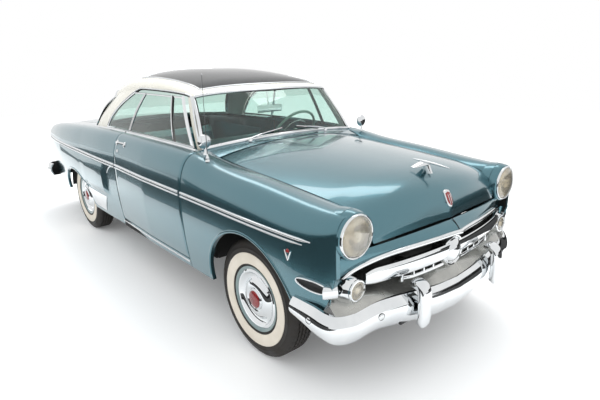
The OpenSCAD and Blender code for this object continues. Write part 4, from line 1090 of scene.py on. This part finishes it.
# silver stone pan between the grille and the bumper
bump = finer(np.array(BUMPER, float), 8)
by = np.linspace(-800, 800, 97)
ba = np.abs(by)
bx, bz = np.interp(ba, bump[:, 0], bump[:, 1]) - 34, np.interp(ba, bump[:, 0], bump[:, 3]) - 6
rows = []
for s in np.linspace(0, 1, 13):
    x = (2300 - 78 * (ba / 800) ** 2) * (1 - s) + bx * s
    waves = 16 * np.sin(np.pi * s) * np.cos(ba / 330 * np.pi) * (ba < 820)
    z = (566 + 8 * np.cos(ba / 800 * np.pi)) * (1 - s) + bz * s + waves
    rows.append(stack(x, by, z))
p.shell(np.array(rows), 3, SATIN)
p.make("grille_face", "body", ["grille"], "chrome")


def side_ornament():
    """The long teardrop that wraps the fender's corner beside the parking lamp."""
    p = Piece()
    t = np.linspace(0, 2 * np.pi, 65)[:-1]
    lx = 2180 + 86 * np.cos(t)
    lz = 633 + 30 * np.sign(np.sin(t)) * np.abs(np.sin(t)) ** 0.8 * (0.88 + 0.12 * np.cos(t)) - 7 * np.cos(t)
    path, n = body_point(lx, lz, 1.0)
    p.sweep(path, half_round(9, 12), CHROME, up=n, closed=True)
    u = np.linspace(0, 1, 9)[:, None, None]
    mid, _ = body_point(2180.0, 633.0, 4.0)
    p.grid(mid + (path + n * 4 - mid)[None] * u, BLACK, wrap_v=True)
    # chrome corner between the teardrop and the pod
    rows = []
    for k in np.linspace(0, 1, 9):
        c = np.array([2258 + 16 * k, 842 - 52 * k - 14 * k * k, 622 - 10 * k])
        a = arc(17, -90, 90)
        h = 30 + 4 * k
        out = np.array([0.5 + 0.4 * k, 0.85 - 0.45 * k, 0])
        rows.append(c + np.cos(a)[:, None] * out * 20 + stack(0 * a, 0 * a, np.sin(a) * h))
    p.shell(np.array(rows), -3, CHROME)
    # fender's lower front corner
    z = np.linspace(548, 690, 9)
    rows = [stack(np.interp(z, (548, 690), (2262, 2296)) - d * 30, body_y(2262.0, z) - 4 - d * 50,
                  z) for d in (0, 0.3, 1)]
    return p.shell(np.array(rows), -3, PAINT)


pair(side_ornament, "side_ornament", "chrome")

p = Piece().turn(
    LAMP, (1, 0, 0),
    ([(104, 0), (107, 8), (107, 18), (105, 23), (101, 24.5), (98, 22), (97, 16)], CHROME, 72),
    ([(97, 16), (86, 4), (66, -16), (44, -32), (20, -42), (0, -45)], REFLECTOR, 72),
    ([(0, -44), (9, -30), (13, -10), (9, 0), (0, 3)], REFLECTOR, 20),
    ([(97.5, 18), (86, 26), (64, 33), (36, 38), (0, 40), (0, 37), (36, 35), (62, 30), (84, 23), (94, 17)],
     LENS_PAINTED_BRIGHT, 72))
p.turn(POD, (1, 0, 0),
       ([(43, 66), (36, 56), (20, 44), (0, 40)], REFLECTOR, 40),
       ([(44, 70), (34, 76), (16, 79), (0, 80), (0, 77), (16, 76), (34, 72), (42, 68)], LENS_PAINTED_BRIGHT, 40))
p.both().make("front_lights", "body", ["front_lamps"], "lamp")

p = Piece().turn(
    TAIL_LAMP, (-1, 0, 0),
    ([(70, -70), (100, -20), (104, 0), (101, 12), (94, 17), (88, 15), (86, 8)], CHROME, 72),
    ([(87, 8), (84, 17), (72, 24), (50, 28), (30, 29), (28, 26), (24, 26), (22, 29), (0, 30)], TAIL, 72),
    ([(30, 28), (32, 31), (28, 32), (25, 30)], CHROME, 48))
p.both().make("tail_lights", "body", ["tail_lamps"], "tail_lamp")

# ---------------------------------------------------------------- bumpers


def bumper_rows(table, n=6, across=22):
    t = finer(table, n)
    path = np.concatenate([stack(t[::-1, 1], t[::-1, 0], t[::-1, 2], t[::-1, 3]),
                           stack(t[1:, 1], -t[1:, 0], t[1:, 2], t[1:, 3])])
    d = np.zeros((len(path), 3))
    d[:, :2] = np.gradient(path[:, :2], axis=0)
    d /= np.linalg.norm(d, axis=1, keepdims=True)
    out = stack(-d[:, 1], d[:, 0], 0 * d[:, 0])
    v = np.linspace(0, 1, across + 1)
    bulge = 30 * (np.sin(np.pi * v) ** 0.8 - 1)
    g = stack(np.repeat(path[:, :1], across + 1, 1), np.repeat(path[:, 1:2], across + 1, 1),
                  path[:, 2:3] + (path[:, 3:4] - path[:, 2:3]) * v)
    return g + out[:, None] * bulge[None, :, None], out


def bumper(table, mirror_x, name, node):
    g, out = bumper_rows(table)
    g[..., 1] *= 0.9975
    p = Piece()
    p.slab(g, g - out[:, None] * 14, CHROME, inner_mat=FRAME)
    for s in (1, -1):
        # guard: a rounded upright that curls back over the bar
        zs = np.array([346, 356, 400, 450, 500, 540, 566, 582, 588, 580, 562])
        xs = np.array([2478, 2486, 2492, 2493, 2491, 2486, 2474, 2452, 2428, 2408, 2398])
        k = np.linspace(0, len(zs) - 1, 45)
        path = stack(np.interp(k, range(len(zs)), xs), 0 * k + s * 356, np.interp(k, range(len(zs)), zs))
        for _ in range(3):
            path[1:-1] = (path[:-2] + 2 * path[1:-1] + path[2:]) / 4
        a = arc(25)[:-1]
        w = np.sign(np.cos(a)) * np.abs(np.cos(a)) ** 0.55 * 39
        h = np.sign(np.sin(a)) * np.abs(np.sin(a)) ** 0.7 * 24 - 18
        tangent = np.gradient(path, axis=0)
        up = np.cross(tangent, (0, 1, 0))
        up = np.where((up[10, 0] > 0), up, -up)
        size = np.clip(np.minimum((k + 0.8) / 2.2, (len(zs) + 1.5 - k) / 4.5), 0.3, 1) ** 0.5
        p.sweep(path, stack(w, h), CHROME, up=up, scale=size)
        for x0, y0 in ((2396, 600), (2204, 887)):
            i = np.argmin(np.hypot(g[:, 11, 0] - x0, g[:, 11, 1] - s * y0))
            p.lathe([(16, -8), (15, -2), (10, 1.4), (0, 2.4)], g[i, 12], out[i], CHROME, 28)
            p.lathe([(17, -8), (19, -0.5), (16, 0.5)], g[i, 12], out[i], BLACK, 28)
        p.block((2200, s * 430 - 26, 364), (2410, s * 430 + 26, 390), FRAME, 4)
    if mirror_x:
        p.block((2448, -165, 500), (2452, 165, 640), SATIN, 1.2)
        p.block((2448, -165, 500), (2474, 165, 510), CHROME, 2)
        for y in (89, -89):
            p.lathe([(9, 0), (8, 3), (4, 5), (0, 5)], (2452, y, 618), (1, 0, 0), STEEL, 20)
        p.verts = [v * (-1, 1, 1) for v in p.verts]
        p.faces = [f[::-1] for f in p.faces]
    p.make(name, "body", [node], "chrome")


bumper(BUMPER, False, "bumper_front", "front_bumper")
bumper(BUMPER_REAR, True, "bumper_rear", "rear_bumper")

# ---------------------------------------------------------------- wheels and tyres


def wheel_pieces(x, y, s, name):
    """Wheel and tyre whose outer side faces s."""
    c, out = (x, y, HUB_Z), (0, s, 0)
    p = Piece().turn(
        c, out,
        # painted rim, inside and out
        ([(150, 34), (164, 44), (170, 56), (176, 68), (184, 74), (190, 76), (193, 74), (193, 66), (188, 64),
          (186, 40), (170, 20), (168, -58), (182, -62), (188, -76), (182, -78), (176, -62), (160, -56),
          (158, 14), (140, 26), (60, 30), (60, 36)], WHEEL_GREY, 96),
        # chrome disc: dished ring, step, crown and centre
        ([(177, 60), (174, 67), (166, 71), (158, 69), (150, 60), (140, 52), (126, 50), (118, 54), (110, 62),
          (98, 70), (82, 75), (72, 76), (66, 73), (62, 72), (58, 78), (54, 80), (50, 78)], CHROME, 96),
        ([(51, 78), (47, 81), (36, 84.5), (20, 87), (0, 88)], RED, 64),
        ([(50, -40), (52, -24), (60, -20), (66, 20), (62, 30)], STEEL, 48))
    for k in range(5):
        a = 2 * math.pi * k / 5
        bolt = (x + 86 * math.cos(a), y + s * 28, HUB_Z + 86 * math.sin(a))
        p.lathe([(11, 0), (11, -6), (8, -9), (0, -9)], bolt, out, STEEL, 6)
    ray = np.array([math.cos(VALVE_AT), 0, math.sin(VALVE_AT)])
    p.tube([np.add(c, ray * far + (0, s * up, 0)) for far, up in ((172, 60), (168, 74), (163, 86))], 3.5,
           BLACK, 8)
    p.make(f"disc_{name}", f"wheel_{name}", [f"wheel_{name}"], "wheel_rim")
    h = TYRE_W / 2
    side, wall = [(192, 68), (197, 73), (204, 77)], [(318, 9), (327, 13), (334, 18)]
    q = Piece().turn(
        c, out,
        ([(189, -60), (186, -58)] + [(r, -z) for r, z in side]
         + [(230, -h + 2), (252, -h), (280, -h + 1), (303, -h + 5)] + [(r, z - h) for r, z in wall], RUBBER,
         120),
        ([(188, 58)] + side + [(207, 76.5)], RUBBER, 120),
        ([(207, 76.5), (208, 79), (218, 82), (232, h - 1), (252, h), (264, h - 1), (273, h - 2),
          (274, h - 4)],
         WHITEWALL, 120),
        ([(274, h - 4), (276, h - 2), (296, h - 4), (298, h - 2.5), (302, h - 3.5), (304, h - 6.5)]
         + [(r, h - z) for r, z in wall], RUBBER, 120))
    # tread: ribs with zigzag grooves between them, and cuts across the shoulders
    n = 288
    ang = np.arange(n) * 2 * np.pi / n
    zig = 3.0 * np.where(np.arange(n) % 4 < 2, 1, -1)
    cols = [(334, -h + 18, 0), (340, -h + 23, 0), (343.5, -h + 28, 0)]
    for groove in (-38, -13, 13, 38):
        cols += [(344.6, groove - 4.5, 1), (337.5, groove - 3.2, 1), (337.5, groove + 3.2, 1),
                 (344.6, groove + 4.5, 1)]
    cols += [(343.5, h - 28, 0), (340, h - 23, 0), (334, h - 18, 0)]
    rows = []
    for k, (r, z, wave) in enumerate(cols):
        rr = np.full(n, float(r))
        if k in (1, 2, len(cols) - 3, len(cols) - 2):
            rr -= 3.2 * (np.arange(n) % 6 < 1)
        rows.append(stack(x + rr * np.cos(ang), y + s * (z + wave * zig), HUB_Z + rr * np.sin(ang)))
    q.grid(np.array(rows), RUBBER, wrap_v=True)
    q.make(f"tread_{name}", f"wheel_{name}", [f"tyre_{name}"], "tyre", sharp=50)


for end, x, track in (("front", FRONT_AXLE, TRACK_F), ("rear", REAR_AXLE, TRACK_R)):
    for side, s in SIDES:
        wheel_pieces(x, s * track / 2, s, f"{end}_{side}")

# ---------------------------------------------------------------- interior


# metres: the remeshed cell, the most the cloth may move, the pitch, width and depth of the sewn channels
VOXEL, SOFT, PITCH, SEAM, SUNK = 0.012, 0.012, 0.075, 0.0065, 0.006
CLOTH_FRAMES, PRESSURE = 20, 4.0


def seat(profile, half, node, name, bands):
    """A bench: a profile [(x, z)] swept across the car, softened by cloth, with sewn channels and piping."""
    pts = np.array(profile, float)
    mid = pts.mean(0)
    dense = []
    for a, b in zip(pts, np.roll(pts, -1, 0)):
        n = max(2, int(np.linalg.norm(b - a) / 26))
        dense += [a + (b - a) * k / n for k in range(n)]
    dense = np.array(dense)
    for _ in range(5):
        dense = (np.roll(dense, 1, 0) + 2 * dense + np.roll(dense, -1, 0)) / 4
    ys = np.linspace(-half, half, 61)
    end = np.clip((half - np.abs(ys)) / 45, 0, 1)
    shrink = 1 - 0.05 * (1 - np.sqrt(1 - (1 - end) ** 2))
    g = np.array([[(mid[0] + (q[0] - mid[0]) * k, y, mid[1] + (q[1] - mid[1]) * k) for q in dense]
                  for y, k in zip(ys, shrink)])
    p = Piece().grid(g, VINYL, wrap_v=True)
    p.add(g[0], [list(range(len(dense)))[::-1]], VINYL).add(g[-1], [list(range(len(dense)))], VINYL)
    o = p.make(name, "body", [node], "vinyl", sharp=80)
    bpy.context.view_layer.objects.active = o
    re = o.modifiers.new("remesh", "REMESH")
    re.mode, re.voxel_size, re.use_smooth_shade = "VOXEL", VOXEL, True
    bpy.ops.object.modifier_apply(modifier="remesh")
    start = np.empty(len(o.data.vertices) * 3)
    o.data.vertices.foreach_get("co", start)
    cloth = o.modifiers.new("cloth", "CLOTH")
    cloth.settings.use_pressure, cloth.settings.uniform_pressure_force = True, PRESSURE
    cloth.settings.effector_weights.gravity = 0.0
    cloth.settings.quality = 3
    cloth.point_cache.frame_start, cloth.point_cache.frame_end = 1, CLOTH_FRAMES
    for f in range(1, CLOTH_FRAMES + 1):
        bpy.context.scene.frame_set(f)
    bpy.ops.object.modifier_apply(modifier="cloth")
    bpy.context.scene.frame_set(1)
    co = np.empty_like(start)
    o.data.vertices.foreach_get("co", co)
    start, co = start.reshape(-1, 3), co.reshape(-1, 3)
    move = co - start
    far = np.linalg.norm(move, axis=1, keepdims=True)
    co = start + move * np.minimum(1, SOFT / np.maximum(far, 1e-6))
    # sewn channels across the cushion and back, and a flat foot
    n = np.empty(len(co) * 3)
    o.data.vertices.foreach_get("normal", n)
    n = n.reshape(-1, 3)
    lowest = pts[:, 1].min() * MM
    inside = np.clip((half * MM - np.abs(co[:, 1]) - 0.07) / 0.02, 0, 1)
    groove = np.exp(-((np.mod(co[:, 1] + PITCH / 2, PITCH) - PITCH / 2) / SEAM) ** 2)
    groove *= inside * (np.abs(n[:, 1]) < 0.5)
    co -= n * (groove * SUNK)[:, None] * (co[:, 2:] > lowest + 0.1)
    co[:, 2] = np.maximum(co[:, 2], lowest)
    o.data.vertices.foreach_set("co", co.reshape(-1))
    o.data.materials.clear()
    o.data.materials.append(VINYL)
    o.data.materials.append(VINYL_PALE)
    for f in o.data.polygons:
        f.use_smooth = True
        x, z = f.center[0] / MM, f.center[2] / MM
        f.material_index = int(any(a <= z <= b for a, b in bands))
    o.data.update()
    trim = Piece()
    loop = [(mid[0] + (q[0] - mid[0]) * 0.985, mid[1] + (q[1] - mid[1]) * 0.985) for q in dense]
    for s in (1, -1):
        trim.tube([(x, s * (half - 22), z) for x, z in loop], 4, VINYL_PALE, 8, closed=True, up=(0, 1, 0))
    trim.make(f"{name}_piping", "body", (), "vinyl")
    return o


seat([[-60, 392], [430, 392], [455, 595], [-40, 565], [-135, 985], [-235, 895], [-230, 895], [-160, 540]],
     605, "front_seat", "bench_front",
     [(905, 1000)])
seat([[-965, 505], [-555, 505], [-553, 404], [-500, 404], [-458, 595], [-900, 560], [-1005, 972],
      [-1070, 972], [-1070, 600]], 566, "rear_seat", "bench_rear",
     [(890, 1000)])

p = Piece()
prof = [(940, 872), (812, 884), (792, 900), (786, 940), (790, 985), (806, 1018), (838, 1044), (900, 1062),
        (938, 1066), (938, 1058), (900, 1050), (846, 1032), (822, 1004), (820, 900), (936, 892)]
y = np.linspace(-640, 640, 49)
g = np.array([[(x + 10 * (k / 640) ** 2, k, z) for x, z in prof] for k in y])
whole = list(range(len(prof)))
p.grid(g, DASH, wrap_v=True).add(g[0], [whole[::-1]], DASH).add(g[-1], [whole], DASH)
p.sweep([(787, k, 930) for k in y], half_round(46, 3), CHROME, up=(-1, 0, 0.05))
p.block((744, 236, 984), (838, 504, 1056), DASH, 22)
p.lathe([(0, 3), (40, 3), (44, 6), (47, 3), (47, -20)], (744, 300, 1018), (-1, 0, 0.1), CHROME, 40)
for k, r in ((300, 40), (440, 40), (370, 26)):
    p.lathe([(r + 5, -12), (r + 5, 3), (r + 2, 5), (r, 2)], (743, k, 1018), (-1, 0, 0.1), CHROME, 40)
    p.lathe([(r, 1), (r * 0.5, 2), (0, 2)], (743, k, 1018), (-1, 0, 0.1), GAUGE, 32)
    p.block((739, k - 1, 1016), (741, k + 1, 1016 + r * 0.8), WHITEWALL, 0.4)
for k in (-60, 60, 130, -130):
    p.lathe([(12, -10), (12, 12), (10, 16), (0, 17)], (788, k, 930), (-1, 0, 0), CHROME, 20)
p.block((782, -55, 948), (800, 55, 985), BLACK, 4).block((783, -500, 900), (793, -200, 1000), DASH, 4)
p.lathe([(14, 0), (13, 6), (0, 7)], (784, -350, 975), (-1, 0, 0), CHROME, 20)
# parcel shelf
p.block((-1180, -600, 1058), (-1070, 600, 1070), CARPET, 4)
p.make("dash", "body", ["dashboard"], "dash")

# steering wheel, square to its column
axis = np.array([-math.cos(SLOPE), 0, math.sin(SLOPE)])
e1 = np.array([0, 1.0, 0])
e2 = np.cross(axis, e1)
centre = np.array(STEER)
a = arc(97)[:-1]
p = Piece()
ring = centre + (np.cos(a)[:, None] * e1 + np.sin(a)[:, None] * e2) * (STEER_R - 0.5)
b = arc(17)[:-1]
grip = 10.4 + 0.5 * np.where(np.abs(np.sin(a)) < 0.95, np.cos(a * 32), 0)
p.sweep(ring, stack(np.cos(b), np.sin(b)), WHEEL_GREEN, up=axis, scale=grip, closed=True)
for s in (1, -1):
    k = np.linspace(0, 1, 12)
    spoke = centre + np.outer(24 + (STEER_R - 26) * k, s * e1) - np.outer(14 * (1 - k) ** 2 + 2, axis)
    spoke += np.outer(-6 * np.sin(np.pi * k), e2)
    p.sweep(spoke, [(-15, -4), (-11, 4), (11, 4), (15, -4), (9, -7), (-9, -7)], WHEEL_GREEN, up=axis,
            scale=1.1 - 0.35 * k)
horn = centre + (np.cos(a)[:, None] * e1 + np.sin(a)[:, None] * e2) * 118 + axis * (-2 + 0 * a[:, None])
p.sweep(horn, stack(np.cos(b), np.sin(b)) * 4, CHROME, up=axis, closed=True)
for s in (1, -1):
    p.tube([centre + s * e1 * 34, centre + s * e1 * 118 - axis * 2], 4, CHROME, 10, up=axis)
p.lathe([(34, -26), (38, -12), (37, -2), (32, 5), (25, 8)], centre, axis, WHEEL_GREEN, 48)
p.lathe([(26, 7), (24, 11), (16, 14), (0, 15)], centre, axis, CHROME, 48)
p.make("helm", "steering_wheel", ["steering_wheel"], "steering_wheel")


def door_card():
    p = Piece()
    inner = float(body_y(400.0, 700.0)) - DOOR_T
    p.block((-95, inner - 8, 420), (870, inner + 1, 990), VINYL, 6)
    p.block((-90, inner - 10, 860), (866, inner - 2, 984), VINYL_PALE, 5)
    for z in (470, 500, 858):
        p.sweep([(x, inner - 9, z) for x in np.linspace(-88, 862, 20)], half_round(7, 4), CHROME,
                up=(0, -1, 0))
    p.block((180, inner - 48, 716), (560, inner - 4, 764), VINYL, 16)
    for x, z in ((260, 640), (640, 800)):
        p.lathe([(16, 8), (15, 18), (0, 20)], (x, inner, z), (0, -1, 0), CHROME, 24)
        p.tube([(x, inner - 20, z), (x - 45, inner - 26, z - 18), (x - 90, inner - 22, z - 20)], 6, CHROME,
               10)
    return p


pair(door_card, "door_card", "vinyl", ("door_left", "door_right"))

p = Piece()
u, v = np.meshgrid(np.linspace(-880, 1050, 60), np.linspace(-1, 1, 41), indexing="ij")
tunnel = 62 * np.exp(-((v * 640) / 130) ** 4)
z = 388 + tunnel + 60 * np.clip((u - 900) / 150, 0, 1)
g = stack(u, v * 610, z)
p.slab(g, g - (0, 0, 4.0), CARPET)
for s in (1, -1):
    p.block((-1090, s * 640 - 6, 470), (-205, s * 640 + 6, 985), VINYL, 5)
p.block((1040, -600, 430), (1050, 600, 900), CARPET, 4)
for y, w in ((430, 34), (310, 40), (240, 28)):
    p.block((985, y - w, 452), (1005, y + w, 520 if w == 34 else 500), RUBBER, 5)
p.make("cabin_lining", "body", (), "vinyl")

# ---------------------------------------------------------------- engine bay dress

lo, hi = (np.array(v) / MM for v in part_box("engine_block"))
ex, ez = (lo[0] + hi[0]) / 2, hi[2]
p = Piece()
bonnet = hood_z(ex) - LID - 12
p.lathe([(40, -4), (46, 10), (150, 14), (158, 22), (158, 62), (150, 70), (60, 78), (0, 80)],
        (ex + 40, 0, min(ez, bonnet - 92)), (0, 0, 1), ENGINE_PAINT, 64)
p.lathe([(12, 78), (12, 86), (6, 88), (0, 88)], (ex + 40, 0, min(ez, bonnet - 96)), (0, 0, 1), STEEL, 6)
p.make("air_cleaner", "body", (), "cast_iron")

# ---------------------------------------------------------------- finishes of the pieces that stay as modelled

STAY = {
    FRAME: ("frame_rails", "crossmembers", "rear_axle", "front_suspension"),
    UNDER: ("floor_pan", "inner_fenders", "rear_wheelhouses"),
    IRON: ("engine_block", "knuckle_left", "knuckle_right"),
    STEEL: ("fuel_tank", "exhaust"),
    WHEEL_GREEN: ("steering_column",),
}
for finish, name in ((finish, name) for finish, names in STAY.items() for name in names):
    o = bpy.data.objects[name]
    if not o.material_slots:
        o.data.materials.append(finish)
    for k in o.material_slots:
        k.link = "OBJECT"
        k.material = finish

# ---------------------------------------------------------------- floor, light and camera


def by_ray(tree, other, seen, end):
    """Joins two shaders: seen for camera, glossy and transmission rays, other for the rest."""
    nodes, links = tree.nodes, tree.links
    path = nodes.new("ShaderNodeLightPath")
    total = path.outputs["Is Camera Ray"]
    for name in ("Is Glossy Ray", "Is Transmission Ray"):
        m = nodes.new("ShaderNodeMath")
        m.operation = "MAXIMUM"
        links.new(total, m.inputs[0])
        links.new(path.outputs[name], m.inputs[1])
        total = m.outputs[0]
    mix = nodes.new("ShaderNodeMixShader")
    for k, value in enumerate((total, other.outputs[0], seen.outputs[0])):
        links.new(value, mix.inputs[k])
    links.new(mix.outputs[0], end.inputs["Surface"])


def staged(name, verts, faces, mat):
    """A plain mesh of the stage, from points in millimetres."""
    me = bpy.data.meshes.new(name)
    me.from_pydata((np.array(verts, float) * MM).tolist(), [], faces)
    me.materials.append(mat)
    o = put(name, me)
    return o


FLOOR_HALF, FLOOR_Z, FLOOR_GLOW = 14000, -0.5, 0.09
staged("floor", [(FLOOR_HALF * a, FLOOR_HALF * b, FLOOR_Z) for a, b in ((-1, -1), (1, -1), (1, 1), (-1, 1))],
       [(0, 1, 2, 3)], FLOOR)
tree = FLOOR.node_tree
bright = tree.nodes.new("ShaderNodeBsdfDiffuse")
bright.inputs["Color"].default_value = (1, 1, 1, 1)
glow = tree.nodes.new("ShaderNodeEmission")
glow.inputs["Strength"].default_value = FLOOR_GLOW
add = tree.nodes.new("ShaderNodeAddShader")
tree.links.new(bright.outputs[0], add.inputs[0])
tree.links.new(glow.outputs[0], add.inputs[1])
by_ray(tree, tree.nodes["Principled BSDF"], add, tree.nodes["Material Output"])

# dark studio cards beside the sheet, low down, that only the paint and the chrome reflect
CARD_HALF, CARD_Y, CARD_Z = 9000, (1850, 7000), (4, 900)
for side, s in SIDES:
    corners = [(x, s * CARD_Y[k], CARD_Z[n]) for k,
               n in ((0, 0), (1, 0), (1, 1)) for x in (-CARD_HALF, CARD_HALF)]
    o = staged(f"card_{side}", corners, [(0, 1, 3, 2), (2, 3, 5, 4)], SHADE_AND_CARD_BLACK)
    o.visible_camera = o.visible_transmission = o.visible_diffuse = o.visible_shadow = False

world = bpy.data.worlds.new("studio")
bpy.context.scene.world = world
world.use_nodes = True
nodes, links = world.node_tree.nodes, world.node_tree.links
ground = nodes["Background"]
place = nodes.new("ShaderNodeTexCoord")
split = nodes.new("ShaderNodeSeparateXYZ")
links.new(place.outputs["Generated"], split.inputs[0])


def levels(stops):
    """Light by height in the room."""
    ramp = nodes.new("ShaderNodeValToRGB")
    for k, (at, level) in enumerate(stops):
        e = ramp.color_ramp.elements[k] if k < 2 else ramp.color_ramp.elements.new(at)
        e.position, e.color = at, (level * 0.97, level * 0.99, level, 1)
    links.new(split.outputs["Z"], ramp.inputs["Fac"])
    return ramp.outputs["Color"]


side = nodes.new("ShaderNodeMath")
side.operation = "ABSOLUTE"
links.new(split.outputs["Y"], side.inputs[0])
blend = nodes.new("ShaderNodeMapRange")
blend.inputs["From Min"].default_value, blend.inputs["From Max"].default_value = 0.45, 0.8
links.new(side.outputs[0], blend.inputs["Value"])
sky = nodes.new("ShaderNodeMix")
sky.data_type = "RGBA"
links.new(blend.outputs[0], sky.inputs[0])
links.new(levels([(0.0, 0.7), (0.9, 1.0), (0.12, 0.7), (0.3, 1.0)]), sky.inputs[6])
links.new(levels([(0.0, 0.05), (0.9, 1.0), (0.10, 0.10), (0.2, 0.6), (0.34, 1.0)]), sky.inputs[7])
links.new(sky.outputs[2], ground.inputs["Color"])
ground.inputs["Strength"].default_value = 1.25
plain = nodes.new("ShaderNodeBackground")
plain.inputs["Color"].default_value, plain.inputs["Strength"].default_value = (1, 1, 1, 1), 1.0
by_ray(world.node_tree, ground, plain, nodes["World Output"])


def area_light(name, size, energy, at):
    """A rectangular light of a size and a power, at a place."""
    light = bpy.data.lights.new(name, "AREA")
    light.shape, light.size, light.size_y, light.energy = "RECTANGLE", *size, energy
    o = put(name, light)
    o.location = at
    return o


KEY_AT, KEY_AIM = Vector((-2.2, 2.6, 4.8)), Vector((0.3, 0, 0.6))
lamp = area_light("key", (5.0, 3.5), 240, KEY_AT)
lamp.rotation_euler = (KEY_AIM - KEY_AT).to_track_quat("-Z", "Y").to_euler()
lamp.visible_glossy = False
area_light("strip", (0.9, 5.0), 40, (-0.5, 1.0, 4.2)).rotation_euler = (0, 0, math.radians(-60))

AZIMUTH, ELEVATION, ROLL = (math.radians(a) for a in (49.11, 16.56, -0.85))
LENS_MM, SENSOR_MM, EYE = 28.25, 36.0, (3.645, -2.175, 1.634)
cam = bpy.data.cameras.new("camera")
cam.lens, cam.sensor_width, cam.clip_end = LENS_MM, SENSOR_MM, 200.0
camera = put("camera", cam)
back_v = Vector((math.sin(AZIMUTH) * math.cos(ELEVATION), -math.cos(AZIMUTH) * math.cos(ELEVATION),
                 math.sin(ELEVATION)))
right_v = Vector((math.cos(AZIMUTH), math.sin(AZIMUTH), 0))
up_v = back_v.cross(right_v)
c, s = math.cos(ROLL), math.sin(ROLL)
basis = Matrix((right_v * c + up_v * s, up_v * c - right_v * s, back_v)).transposed().to_4x4()
camera.matrix_world = Matrix.Translation(EYE) @ basis
bpy.context.scene.camera = camera
bpy.context.scene.view_settings.view_transform = "Standard"
